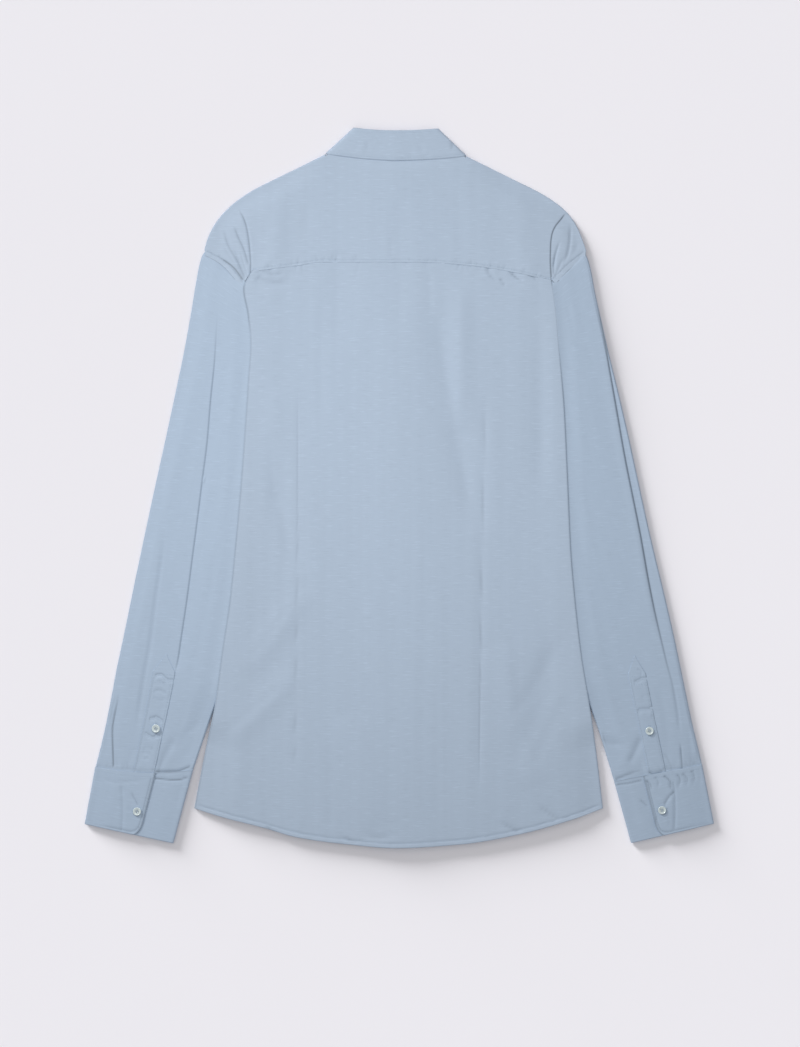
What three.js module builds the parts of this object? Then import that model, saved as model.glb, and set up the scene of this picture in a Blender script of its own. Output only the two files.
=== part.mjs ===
// A long sleeve dress shirt laid flat on its front, with the back upward.
// Sizes are in millimetres. X runs across the shirt, Y from the hem to the collar, and Z
// up out of the back. The shirt rests on Z = 0. Left and right are the wearer's, so the
// left side is at negative X.

import * as THREE from 'three';

// Walls and spaces
const CLOTH = 1.2;
const STIFF_CLOTH = 1.6;
const HEM_CLOTH = 1.8;
const HEM_WIDTH = 7;
const SIDE_LENGTH = 600;
const SEAM_GAP = 0.5;
const NECK_GAP = 0.8;
const FRONT_GAP = 2.5;
const LAY_GAP = 0.3;

// Heights of the middle of the cloth over the table
const FLOOR_LAYER = CLOTH / 2;
const FLOOR_STIFF = STIFF_CLOTH / 2;
const OVER_SLEEVE = 4.3;
const SIDE_ROUND = 2.6;
const SLEEVE_ROUND = 2.2;
const BACK_REST = 5.6;
const BACK_CREST = 1.5;
const CREST_WIDTH = 40;
const SIDE_BLEND = 42;
const TIP_HEIGHT = 2.9;
// How far the side seam lies under the side, where it rises over the front at the
// armhole, and where the sleeve comes out from under the side
const SEAM_TUCK = 22;
const SEAM_LIFT = 1.7;
const SEAM_RISES = 118;
const SLEEVE_LEAVES = -252;

// The sides of the body from the hem up to the yoke seam, past the fold under the arm
const LEFT_SIDE = [
  { x: -225.3, y: -353 }, { x: -212.4, y: -286 }, { x: -202.7, y: -240 },
  { x: -194.6, y: -180 }, { x: -186.2, y: -124 }, { x: -180.7, y: -70 },
  { x: -173.5, y: 10 }, { x: -168.1, y: 86 }, { x: -166, y: 120 },
  { x: -163.6, y: 157 }, { x: -166, y: 190 }, { x: -170.8, y: 218 }, { x: -162, y: 239 },
];
const RIGHT_SIDE = [
  { x: 223.9, y: -353 }, { x: 215.9, y: -286 }, { x: 209.1, y: -240 },
  { x: 199.4, y: -180 }, { x: 193, y: -124 }, { x: 188.4, y: -70 },
  { x: 184.8, y: 10 }, { x: 181.2, y: 86 }, { x: 178.6, y: 120 },
  { x: 175.5, y: 157 }, { x: 173, y: 190 }, { x: 169.2, y: 218 }, { x: 167, y: 228.5 },
];
const HEM_LINE = [
  { x: -225.3, y: -353 }, { x: -200, y: -361 }, { x: -148.6, y: -374.3 },
  { x: -111.6, y: -384.8 }, { x: -56, y: -392.4 }, { x: -3.9, y: -396.4 },
  { x: 67.5, y: -392.4 }, { x: 129.2, y: -382 }, { x: 190.9, y: -365 },
  { x: 223.9, y: -353 },
];
const YOKE_SEAM = [
  { x: -162, y: 239 }, { x: -140.7, y: 241.7 }, { x: -109.2, y: 245.9 },
  { x: -87.2, y: 249 }, { x: -22.3, y: 249 }, { x: 31.2, y: 248.6 },
  { x: 84.4, y: 244.6 }, { x: 131.7, y: 236.8 }, { x: 167, y: 228.5 },
];
// The armhole seams, from the shoulder edge to the fold under the arm
const ARMHOLE_LEFT = [{ x: -215.2, y: 257.3 }, { x: -196.4, y: 246.3 }, { x: -173, y: 220.2 }];
const ARMHOLE_RIGHT = [{ x: 206.3, y: 256.3 }, { x: 188.4, y: 242 }, { x: 171, y: 224 }];
// The shoulder edge from the left armhole over the neck to the right armhole
const SHOULDER_LEFT = [
  { x: -214.6, y: 260.5 }, { x: -210.2, y: 275.4 }, { x: -199.7, y: 294.5 },
  { x: -182.9, y: 312.1 }, { x: -162, y: 326.6 }, { x: -138.7, y: 338.5 },
  { x: -109.2, y: 352.8 }, { x: -80.6, y: 367 },
];
const NECK_SEAM = [{ x: -80.6, y: 367 }, { x: -42, y: 362.4 }, { x: -3.9, y: 360.3 },
  { x: 35, y: 361.6 }, { x: 73.4, y: 364.6 }];
const SHOULDER_RIGHT = [
  { x: 73.4, y: 364.6 }, { x: 100, y: 351.6 }, { x: 126.6, y: 338.5 },
  { x: 161.3, y: 320.6 }, { x: 182.3, y: 304.9 }, { x: 195, y: 287.9 },
  { x: 203.4, y: 267 }, { x: 205.8, y: 259.5 },
];
const YOKE_WRAP = 24;
// Shares of the yoke seam that lie under the ends of the neck seam, and the share of each
// shoulder edge that belongs to the tip outside the yoke seam
const NECK_FOOT_LEFT = 0.25;
const NECK_FOOT_RIGHT = 0.73;
const TIP_SHARE = 0.33;
const TIP_COLUMNS = [0.03, 0.25, 0.5, 0.75, 0.985];
const NECK_BLEND = 45;
const FOLD_CLEARANCE = 1.5;

// The long darts of the back: where each lies at the height y
const DART_TOP = 114;
const DART_END = -338;
const DART_DEPTH = 1;
const DART_SPREAD = 6;
const DARTS = [
  { y: DART_END, left: -116.5, right: 87.8 },
  { y: -124, left: -113, right: 89.6 },
  { y: DART_TOP, left: -111.4, right: 94.6 },
  { y: 250, left: -111, right: 97 },
];

// Broad soft folds of the back and yoke, each from its first to its second end
const BODY_FOLDS = [
  { x1: 38, y1: 206, x2: 84, y2: -51, width: 17, rise: -1.1 },
  { x1: 68, y1: 228, x2: 68, y2: 59, width: 15, rise: 0.9 },
  { x1: -146, y1: 60, x2: -112, y2: -96, width: 14, rise: -0.9 },
  { x1: -138, y1: 110, x2: -140, y2: -10, width: 12, rise: 0.7 },
  { x1: -100, y1: -110, x2: -172, y2: -204, width: 14, rise: 0.9 },
  { x1: -110, y1: -200, x2: -190, y2: -282, width: 14, rise: 0.9 },
  { x1: 156, y1: 222, x2: 160, y2: -10, width: 13, rise: -1 },
  { x1: 185, y1: -150, x2: 128, y2: -310, width: 17, rise: -0.9 },
  { x1: 110, y1: -170, x2: 150, y2: -330, width: 16, rise: 0.8 },
  { x1: -60, y1: -250, x2: -20, y2: -372, width: 18, rise: 0.7 },
  { x1: -64, y1: 262, x2: -70, y2: 150, width: 15, rise: -0.6 },
  { x1: 2, y1: 330, x2: -4, y2: 170, width: 15, rise: -0.5 },
  { x1: 128, y1: 330, x2: 150, y2: 200, width: 14, rise: 0.7 },
  { x1: -132, y1: 322, x2: -146, y2: 200, width: 13, rise: 0.7 },
];
// The line of each shoulder fold, outside which the cloth lies lower
const SHOULDER_FOLDS = [
  { y: 219, left: -171, right: 169 },
  { y: 243, left: -163.5, right: 167 },
  { y: 268, left: -165, right: 167.5 },
  { y: 294, left: -170.2, right: 173 },
  { y: 312, left: -180, right: 182 },
];
const SHOULDER_FOLD_TOP = 312;

// Sleeves: a row for each section, from the armhole to the cuff. Places along a section
// are shares of its width from the outer edge, as the fold's is. Crown is the height of
// the middle over the edges, and depth that of the fold.
const SLEEVE_LEFT = [
  { outerX: -215.4, outerY: 256.6, innerX: -172, innerY: 218.4, crown: 0.5, fold: 0.4, depth: 0.2 },
  { outerX: -219.8, outerY: 243, innerX: -171.4, innerY: 206.6, crown: 0.8, fold: 0.4, depth: 0.5 },
  { outerX: -224, outerY: 222, innerX: -167.6, innerY: 192.5, crown: 1.1, fold: 0.42, depth: 0.9 },
  { outerX: -229, outerY: 192, innerX: -160.6, innerY: 174, crown: 1.4, fold: 0.43, depth: 1.1 },
  { outerX: -235.6, outerY: 155, innerX: -157.3, innerY: 147, crown: 1.6, fold: 0.44, depth: 1.2 },
  { outerX: -245.9, outerY: 105, innerX: -160.2, innerY: 100, crown: 1.7, fold: 0.45, depth: 1.3 },
  { outerX: -256, outerY: 58, innerX: -162.5, innerY: 54, crown: 1.7, fold: 0.46, depth: 1.4 },
  { outerX: -267, outerY: 8, innerX: -166, innerY: 5, crown: 1.7, fold: 0.48, depth: 1.4 },
  { outerX: -280.6, outerY: -55, innerX: -171.6, innerY: -60, crown: 1.7, fold: 0.5, depth: 1.3 },
  { outerX: -294.6, outerY: -122, innerX: -179.2, innerY: -127, crown: 1.6, fold: 0.53, depth: 1.2 },
  { outerX: -303, outerY: -163, innerX: -185.4, innerY: -168, crown: 1.6, fold: 0.53, depth: 1 },
  { outerX: -311.1, outerY: -201, innerX: -191.8, innerY: -205, crown: 1.6, fold: 0.53, depth: 0.8 },
  { outerX: -317.5, outerY: -235, innerX: -202.6, innerY: -239, crown: 1.5, fold: 0.56, depth: 0.8 },
  { outerX: -322.9, outerY: -262, innerX: -211.6, innerY: -264, crown: 1.4, fold: 0.57, depth: 0.7 },
  { outerX: -329, outerY: -288, innerX: -220.4, innerY: -290, crown: 1.3, fold: 0.59, depth: 0.7 },
  { outerX: -334.4, outerY: -308.6, innerX: -228.1, innerY: -312.8, crown: 1.2, fold: 0.62, depth: 0.6 },
];
const SLEEVE_RIGHT = [
  { outerX: 206.6, outerY: 255.6, innerX: 170.6, innerY: 222, crown: 0.5, fold: 0.1, depth: 0.2 },
  { outerX: 210.5, outerY: 240, innerX: 171.6, innerY: 209, crown: 0.8, fold: 0.1, depth: 0.8 },
  { outerX: 214.8, outerY: 217, innerX: 170.6, innerY: 195, crown: 1.1, fold: 0.1, depth: 1.1 },
  { outerX: 220.8, outerY: 190, innerX: 168, innerY: 176, crown: 1.4, fold: 0.1, depth: 1.3 },
  { outerX: 228.5, outerY: 156, innerX: 169, innerY: 148, crown: 1.6, fold: 0.1, depth: 1.5 },
  { outerX: 240.9, outerY: 105, innerX: 171.8, innerY: 100, crown: 1.7, fold: 0.1, depth: 1.6 },
  { outerX: 251.4, outerY: 60, innerX: 174.6, innerY: 56, crown: 1.7, fold: 0.1, depth: 1.6 },
  { outerX: 262.7, outerY: 8, innerX: 177, innerY: 4, crown: 1.7, fold: 0.1, depth: 1.6 },
  { outerX: 276.6, outerY: -55, innerX: 180.4, innerY: -60, crown: 1.7, fold: 0.1, depth: 1.6 },
  { outerX: 292.6, outerY: -122, innerX: 185.6, innerY: -127, crown: 1.6, fold: 0.11, depth: 1.5 },
  { outerX: 302.2, outerY: -164, innerX: 190.8, innerY: -168, crown: 1.6, fold: 0.11, depth: 1.4 },
  { outerX: 310.4, outerY: -203, innerX: 197.8, innerY: -206, crown: 1.6, fold: 0.12, depth: 1.2 },
  { outerX: 317, outerY: -235, innerX: 208.6, innerY: -237, crown: 1.5, fold: 0.13, depth: 1 },
  { outerX: 322.7, outerY: -262, innerX: 218.2, innerY: -262, crown: 1.4, fold: 0.15, depth: 0.9 },
  { outerX: 328.6, outerY: -286, innerX: 227.4, innerY: -291, crown: 1.3, fold: 0.17, depth: 0.8 },
  { outerX: 333.2, outerY: -306, innerX: 237.4, innerY: -324.6, crown: 1.2, fold: 0.19, depth: 0.6 },
];
const FOLD_SPREAD = 6;
const SLEEVE_TUCK = 9;
const SLEEVE_RISE = 18;
const CUFF_SAG = 4;

// Sleeve plackets: shares of the sleeve's width, and how far the point stands above the
// first section that the placket crosses
const PLACKET_FIRST_SECTION = 11;
const PLACKET_POINT = 20;
const POINT_SHARPNESS = 0.93;
const STRAP_LEFT = { atTop: 0.31, atCuff: 0.385, topEnd: 0.505, cuffEnd: 0.6 };
const STRAP_RIGHT = { atTop: 0.35, atCuff: 0.415, topEnd: 0.52, cuffEnd: 0.61 };

// Cuffs: the corners, and where the overlapping end lies as a share from the outer edge
const CUFF_LEFT = {
  topOuter: [-334.8, -309.4], topInner: [-228.3, -313.6],
  endOuter: [-346, -370.3], endInner: [-249.1, -391.3], sag: CUFF_SAG, overlap: 0.62,
};
const CUFF_RIGHT = {
  topOuter: [333.4, -306.8], topInner: [237.6, -325.4],
  endOuter: [346, -369.8], endInner: [255.7, -391.1], sag: 0, overlap: 0.63,
};
const OVERLAP_LENGTH = 0.22;
const OVERLAP_CORNER = 0.07;

// Front: the placket, and the space that its buttons take under it
const PLACKET_WIDTH = 34;
const PLACKET_LIFT = 2.3;
const PLACKET_LAYER = PLACKET_LIFT + CLOTH / 2;
const STAND_LAYER = PLACKET_LAYER + CLOTH + LAY_GAP;
const STAND_END = -12;
const NECK_FRONT = 280;
const FRONT_HEM_INSET = 2.5;

// Heights of the middle of each front where it rises to the placket, by the distance
// inward from its own side of the centre
const LEFT_FRONT_LIFT = [
  { x: -400, z: FLOOR_LAYER }, { x: -36, z: FLOOR_LAYER }, { x: -29, z: 1.1 },
  { x: -23, z: 2.1 }, { x: -17, z: PLACKET_LAYER }, { x: 40, z: PLACKET_LAYER },
];
const RIGHT_FRONT_LIFT = [
  { x: -400, z: FLOOR_LAYER }, { x: -42, z: FLOOR_LAYER }, { x: -34, z: 0.9 },
  { x: -28, z: 1.9 }, { x: -22.5, z: 3.3 }, { x: -18, z: STAND_LAYER }, { x: 40, z: STAND_LAYER },
];
const LEFT_FRONT_COLUMNS = [70, 54, 42, 36, 29, 23, 17.25];
const RIGHT_FRONT_COLUMNS = [70, 54, 42, 34, 28, 22.5, 18, 12, 6, -3, -12];
const COLUMN_SQUEEZE = 1.6;

// Collar band: a row for each place round it, from the end at the front that lies
// lowest, over the back, to the end above it
const COLLAR_STATIONS = [
  { baseX: 6, baseY: 281.4, topX: 6, topY: 313.4, z: 3.1 },
  { baseX: -8, baseY: 281.2, topX: -9, topY: 313.4, z: 3.1 },
  { baseX: -19, baseY: 282.4, topX: -17, topY: 315, z: 2.9 },
  { baseX: -31, baseY: 287.6, topX: -24, topY: 320, z: 1.1 },
  { baseX: -44, baseY: 297, topX: -32, topY: 330, z: 0.8 },
  { baseX: -60, baseY: 313.6, topX: -40, topY: 347, z: 0.8 },
  { baseX: -71, baseY: 334, topX: -45.4, topY: 366, z: 0.8 },
  { baseX: -78, baseY: 355, topX: -48.6, topY: 385, z: 0.8 },
  { baseX: -79.6, baseY: 366.4, topX: -49.6, topY: 394.6, z: 1.2 },
  { baseX: -80.4, baseY: 367.9, topX: -50.2, topY: 395.7, z: 3.3 },
  { baseX: -79.2, baseY: 367.8, topX: -49, topY: 395.6, z: 5.3 },
  { baseX: -66, baseY: 366.1, topX: -40, topY: 394.8, z: 6 },
  { baseX: -42, baseY: 363.1, topX: -24, topY: 393.4, z: 6.1 },
  { baseX: -22, baseY: 361.6, topX: -13, topY: 393, z: 6.1 },
  { baseX: -3.9, baseY: 360.9, topX: -3.9, topY: 392.9, z: 6.4 },
  { baseX: 16, baseY: 361.3, topX: 8, topY: 393, z: 6.2 },
  { baseX: 35, baseY: 362.2, topX: 20, topY: 393.4, z: 6.1 },
  { baseX: 58, baseY: 363.9, topX: 33, topY: 394.1, z: 6 },
  { baseX: 72, baseY: 365.3, topX: 41.4, topY: 394.8, z: 5.3 },
  { baseX: 73.2, baseY: 365.4, topX: 42.6, topY: 394.9, z: 3.3 },
  { baseX: 72.4, baseY: 364, topX: 42, topY: 393.8, z: 1.2 },
  { baseX: 70.6, baseY: 352, topX: 40.6, topY: 384, z: 0.8 },
  { baseX: 63, baseY: 331, topX: 37.4, topY: 364, z: 0.8 },
  { baseX: 52, baseY: 311.6, topX: 32, topY: 346, z: 0.8 },
  { baseX: 38, baseY: 296, topX: 25, topY: 330, z: 0.8 },
  { baseX: 26, baseY: 287.6, topX: 18, topY: 320.4, z: 2.2 },
  { baseX: 13, baseY: 282.4, topX: 10.4, topY: 315, z: 4.8 },
  { baseX: 2, baseY: 280.6, topX: 1, topY: 313.4, z: 5 },
  { baseX: -16, baseY: 280, topX: -15, topY: 313, z: 5 },
];
const COLLAR_ROWS = 4;

// Buttons
const BUTTON_RADIUS = 5;
const BUTTON_THICKNESS = 2;
const BUTTON_SIDES = 16;
const FRONT_BUTTONS = 7;
const FIRST_FRONT_BUTTON = 232;
const FRONT_BUTTON_SPACING = 90;
const COLLAR_BUTTON_HEIGHT = 296;
// Where the buttons of the sleeves lie, and the heights that they rest on
const SLEEVE_BUTTONS = {
  left: { cuff: [-288.3, -356], sleeve: [-270.6, -264.8] },
  right: { cuff: [288.9, -354.6], sleeve: [275.1, -267.4] },
};
const CUFF_TOP = FLOOR_STIFF + 2.5 * STIFF_CLOTH + 4 * LAY_GAP;
const STRAP_TOP = 6.3;

const shirtBlue = new THREE.MeshStandardMaterial({ color: 0xacbed1, roughness: 0.8 });
const pearl = new THREE.MeshStandardMaterial({ color: 0xe9edf0, roughness: 0.3 });

function mix(from, to, share) {
  return from + (to - from) * share;
}

function smoothStep(low, high, value) {
  const share = Math.min(1, Math.max(0, (value - low) / (high - low)));
  return share * share * (3 - 2 * share);
}

// Slopes for a smooth curve through values that doesn't swing past them
function slopesThrough(places, values) {
  const last = places.length - 1;
  const chord = (i) => (values[i + 1] - values[i]) / (places[i + 1] - places[i]);
  return places.map((place, i) => {
    if (i === 0) return chord(0);
    if (i === last) return chord(last - 1);
    const before = chord(i - 1);
    const after = chord(i);
    return before * after <= 0 ? 0 : (2 * before * after) / (before + after);
  });
}

function smoothReader(places, values) {
  const slopes = slopesThrough(places, values);
  return (at) => {
    const inside = Math.min(Math.max(at, places[0]), places[places.length - 1]);
    let i = 0;
    while (i < places.length - 2 && places[i + 1] < inside) i += 1;
    const span = places[i + 1] - places[i];
    const t = (inside - places[i]) / span;
    return values[i] * (2 * t ** 3 - 3 * t ** 2 + 1)
      + slopes[i] * span * (t ** 3 - 2 * t ** 2 + t)
      + values[i + 1] * (3 * t ** 2 - 2 * t ** 3)
      + slopes[i + 1] * span * (t ** 3 - t ** 2);
  };
}

function columnReader(table, place, column) {
  return smoothReader(table.map((row) => row[place]), table.map((row) => row[column]));
}

// A smooth line through flat points, read by the share of its length
function lineThrough(points) {
  const lengths = [0];
  for (let i = 1; i < points.length; i += 1) {
    const step = Math.hypot(points[i].x - points[i - 1].x, points[i].y - points[i - 1].y);
    lengths.push(lengths[i - 1] + step);
  }
  const shares = lengths.map((length) => length / lengths[lengths.length - 1]);
  const readX = smoothReader(shares, points.map((point) => point.x));
  const readY = smoothReader(shares, points.map((point) => point.y));
  return (share) => ({ x: readX(share), y: readY(share) });
}

// The same line with straight stretches between its points
function straightLine(points) {
  const stretches = new THREE.CurvePath();
  for (let i = 1; i < points.length; i += 1) {
    const from = new THREE.Vector2(points[i - 1].x, points[i - 1].y);
    stretches.add(new THREE.LineCurve(from, new THREE.Vector2(points[i].x, points[i].y)));
  }
  return (share) => stretches.getPoint(share);
}

// A flat patch between four lines: foot and top run across, left and right run up
function patchBetween(foot, top, left, right) {
  return (u, v) => {
    const place = (axis) => (1 - v) * foot(u)[axis] + v * top(u)[axis]
      + (1 - u) * left(v)[axis] + u * right(v)[axis]
      - (1 - u) * (1 - v) * foot(0)[axis] - u * (1 - v) * foot(1)[axis]
      - (1 - u) * v * top(0)[axis] - u * v * top(1)[axis];
    return { x: place('x'), y: place('y') };
  };
}

// How far the broad folds lift or sink the cloth at a place
function foldRise(folds, x, y) {
  let rise = 0;
  for (const fold of folds) {
    const alongX = fold.x2 - fold.x1;
    const alongY = fold.y2 - fold.y1;
    const length = Math.hypot(alongX, alongY);
    const share = ((x - fold.x1) * alongX + (y - fold.y1) * alongY) / length ** 2;
    const away = ((x - fold.x1) * alongY - (y - fold.y1) * alongX) / length;
    const taper = Math.max(0, 1 - (2 * share - 1) ** 4);
    rise += fold.rise * taper * Math.exp(-((away / fold.width) ** 2));
  }
  return rise;
}

// A wall of cloth on a grid of middle points. Each point is a vector, and each row may
// close on itself. Cells can be left out, and each open edge gets its own rim.
function clothWall(name, rows, { wall = () => CLOTH, closed = false, keep = () => true,
  material = shirtBlue } = {}) {
  const rowCount = rows.length;
  const columnCount = rows[0].length;
  const wrap = (j) => (j + columnCount) % columnCount;
  const nearColumn = (j) => (closed ? wrap(j) : Math.min(columnCount - 1, Math.max(0, j)));
  const nearRow = (i) => Math.min(rowCount - 1, Math.max(0, i));
  const faceUp = [];
  const faceDown = [];
  const points = [];
  const addPoint = (point) => points.push(point.x, point.y, point.z) / 3 - 1;
  for (let i = 0; i < rowCount; i += 1) {
    faceUp.push([]);
    faceDown.push([]);
    for (let j = 0; j < columnCount; j += 1) {
      const across = rows[i][nearColumn(j + 1)].clone().sub(rows[i][nearColumn(j - 1)]);
      const along = rows[nearRow(i + 1)][j].clone().sub(rows[nearRow(i - 1)][j]);
      const half = across.cross(along).normalize().multiplyScalar(wall(i, j) / 2);
      faceUp[i].push(addPoint(rows[i][j].clone().add(half)));
      faceDown[i].push(addPoint(rows[i][j].clone().sub(half)));
    }
  }
  const triangles = [];
  const addQuad = (a, b, c, d) => triangles.push(a, b, c, a, c, d);
  const cellColumns = closed ? columnCount : columnCount - 1;
  const isKept = (i, j) => {
    if (i < 0 || i >= rowCount - 1) return false;
    if (!closed && (j < 0 || j >= cellColumns)) return false;
    return keep(i, wrap(j));
  };
  const addRim = (i1, j1, i2, j2) => {
    addQuad(faceUp[i2][j2], faceUp[i1][j1], faceDown[i1][j1], faceDown[i2][j2]);
  };
  for (let i = 0; i < rowCount - 1; i += 1) {
    for (let j = 0; j < cellColumns; j += 1) {
      if (!isKept(i, j)) continue;
      const next = wrap(j + 1);
      addQuad(faceUp[i][j], faceUp[i][next], faceUp[i + 1][next], faceUp[i + 1][j]);
      addQuad(faceDown[i][j], faceDown[i + 1][j], faceDown[i + 1][next], faceDown[i][next]);
      if (!isKept(i - 1, j)) addRim(i, j, i, next);
      if (!isKept(i + 1, j)) addRim(i + 1, next, i + 1, j);
      if (!isKept(i, j - 1)) addRim(i + 1, j, i, j);
      if (!isKept(i, j + 1)) addRim(i, next, i + 1, next);
    }
  }
  const geometry = new THREE.BufferGeometry();
  geometry.setAttribute('position', new THREE.Float32BufferAttribute(points, 3));
  geometry.setIndex(triangles);
  geometry.computeVertexNormals();
  const mesh = new THREE.Mesh(geometry, material);
  mesh.name = name;
  return mesh;
}

// Corners of a rounded side fold, from its lower layer to its upper one
function roundCorners(low, high) {
  const radius = (high - low) / 2;
  return [-60, -20, 20, 60].map((degrees) => {
    const angle = THREE.MathUtils.degToRad(degrees);
    return { inset: radius * (1 - Math.cos(angle)), z: low + radius + radius * Math.sin(angle) };
  });
}

// Body outline
const leftSide = lineThrough(LEFT_SIDE);
const rightSide = lineThrough(RIGHT_SIDE);
const backPatch = patchBetween(
  lineThrough(HEM_LINE), lineThrough(YOKE_SEAM), leftSide, rightSide,
);

// Height of the middle of the back over the table
function backHeight(x, y) {
  const crest = BACK_CREST * Math.exp(-((x / CREST_WIDTH) ** 2));
  return BACK_REST + crest + foldRise(BODY_FOLDS, x, y);
}

const dartAt = {
  left: columnReader(DARTS, 'y', 'left'),
  right: columnReader(DARTS, 'y', 'right'),
};

function dartDepth(x, y) {
  const taper = smoothStep(DART_END - 4, DART_END + 30, y)
    * (1 - smoothStep(DART_TOP - 40, DART_TOP + 4, y));
  const dip = (side) => Math.exp(-(((x - dartAt[side](y)) / DART_SPREAD) ** 2));
  return DART_DEPTH * taper * (dip('left') + dip('right'));
}

// Shares of the body's width at which the back has its columns
function backColumns(v) {
  const left = backPatch(0, v);
  const right = backPatch(1, v);
  const width = right.x - left.x;
  const dart = (side) => (dartAt[side]((left.y + right.y) / 2) - left.x) / width;
  const step = DART_SPREAD / width;
  const knots = [
    { at: 4 / width, fill: 1 }, { at: 20 / width, fill: 1 },
    { at: dart('left') - step, fill: 0 }, { at: dart('left'), fill: 0 },
    { at: dart('left') + step, fill: 5 }, { at: dart('right') - step, fill: 0 },
    { at: dart('right'), fill: 0 }, { at: dart('right') + step, fill: 1 },
    { at: 1 - 20 / width, fill: 1 }, { at: 1 - 4 / width, fill: 0 },
  ];
  const shares = [];
  knots.forEach((knot, k) => {
    shares.push(knot.at);
    for (let n = 1; n <= knot.fill && k < knots.length - 1; n += 1) {
      shares.push(mix(knot.at, knots[k + 1].at, n / (knot.fill + 1)));
    }
  });
  return shares;
}

const HEM_SHARE = HEM_WIDTH / SIDE_LENGTH;
const BACK_ROWS = [0, HEM_SHARE, HEM_SHARE * 1.3, 0.05, 0.09, 0.13, 0.165, 0.2, 0.235, 0.27,
  0.31, 0.36, 0.41, 0.46, 0.51, 0.56, 0.61, 0.66, 0.71, 0.76, 0.81, 0.86, 0.9, 0.925,
  0.95, 0.975, 1];

// One row of the back, from the left side seam under the fold, over the back, to the right
function backRow(v, extraWall) {
  const row = [];
  const lift = smoothStep(SLEEVE_LEAVES - 33, SLEEVE_LEAVES, leftSide(v).y);
  const low = mix(FLOOR_LAYER, OVER_SLEEVE, lift) + extraWall;
  const high = low + SIDE_ROUND;
  const seam = FLOOR_LAYER + extraWall + SEAM_LIFT * smoothStep(SEAM_RISES, SEAM_RISES + 20, leftSide(v).y);
  const width = backPatch(1, v).x - backPatch(0, v).x;
  const under = [
    { inset: SEAM_TUCK, z: seam }, { inset: 16.5, z: mix(seam, low, 0.45) },
    { inset: 11, z: low }, { inset: 4, z: low },
  ];
  const curl = [...under, ...roundCorners(low, high)];
  const place = (u, z) => {
    const point = backPatch(u, v);
    row.push(new THREE.Vector3(point.x, point.y, z));
  };
  curl.forEach(({ inset, z }) => place(inset / width, z));
  for (const u of backColumns(v)) {
    const point = backPatch(u, v);
    const fromSide = Math.min(u, 1 - u) * width;
    const middle = backHeight(point.x, point.y) - dartDepth(point.x, point.y) + extraWall;
    place(u, mix(high, middle, smoothStep(2, SIDE_BLEND, fromSide)));
  }
  curl.reverse().forEach(({ inset, z }) => place(1 - inset / width, z));
  return row;
}

function makeBack() {
  const hemRows = 2;
  const extra = (i) => (i < hemRows ? (HEM_CLOTH - CLOTH) / 2 : 0);
  const rows = BACK_ROWS.map((v, i) => backRow(v, extra(i)));
  return clothWall('back_panel', rows, { wall: (i) => (i < hemRows ? HEM_CLOTH : CLOTH) });
}

// Yoke: columns between a foot line and the shoulder edge
const armholeLeft = lineThrough(ARMHOLE_LEFT);
const armholeRight = lineThrough(ARMHOLE_RIGHT);
const shoulderLeft = lineThrough(SHOULDER_LEFT);
const shoulderRight = lineThrough(SHOULDER_RIGHT);
const neckSeam = lineThrough(NECK_SEAM);
const shoulderFoldAt = {
  left: columnReader(SHOULDER_FOLDS, 'y', 'left'),
  right: columnReader(SHOULDER_FOLDS, 'y', 'right'),
};

// Top of a yoke column whose foot lies at the share s of the yoke seam
function yokeTop(s) {
  if (s < NECK_FOOT_LEFT) {
    return shoulderLeft(mix(TIP_SHARE, 1, s / NECK_FOOT_LEFT));
  }
  if (s > NECK_FOOT_RIGHT) {
    const past = (s - NECK_FOOT_RIGHT) / (1 - NECK_FOOT_RIGHT);
    return shoulderRight(mix(0, 1 - TIP_SHARE, past));
  }
  return neckSeam((s - NECK_FOOT_LEFT) / (NECK_FOOT_RIGHT - NECK_FOOT_LEFT));
}

function yokeColumns() {
  const columns = [];
  const addTip = (foot, top) => columns.push({ foot, top, wrapped: true });
  TIP_COLUMNS.forEach((share) => addTip(armholeLeft(share), shoulderLeft(share * TIP_SHARE * 0.9)));
  const seam = lineThrough(YOKE_SEAM);
  const shares = [0, NECK_FOOT_LEFT, NECK_FOOT_RIGHT, 1];
  shares.push(...backColumns(1).filter((s) => s > 0.03 && s < 0.97));
  shares.sort((a, b) => a - b);
  shares.forEach((s) => {
    const foot = seam(s);
    if (s === 0) foot.x -= FOLD_CLEARANCE;
    if (s === 1) foot.x += FOLD_CLEARANCE;
    columns.push({ foot, top: yokeTop(s), wrapped: s <= NECK_FOOT_LEFT || s >= NECK_FOOT_RIGHT });
  });
  TIP_COLUMNS.slice().reverse().forEach((share) => {
    addTip(armholeRight(share), shoulderRight(1 - share * TIP_SHARE * 0.9));
  });
  return columns;
}

function yokeHeight(x, y) {
  const side = x < 0 ? 'left' : 'right';
  const outside = Math.abs(x) - Math.abs(shoulderFoldAt[side](y));
  const fade = 1 - smoothStep(SHOULDER_FOLD_TOP - 24, SHOULDER_FOLD_TOP + 4, y);
  const low = Math.max(fade * smoothStep(-8, 2, outside), smoothStep(18, 40, outside));
  return mix(backHeight(x, y), TIP_HEIGHT, low);
}

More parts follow.
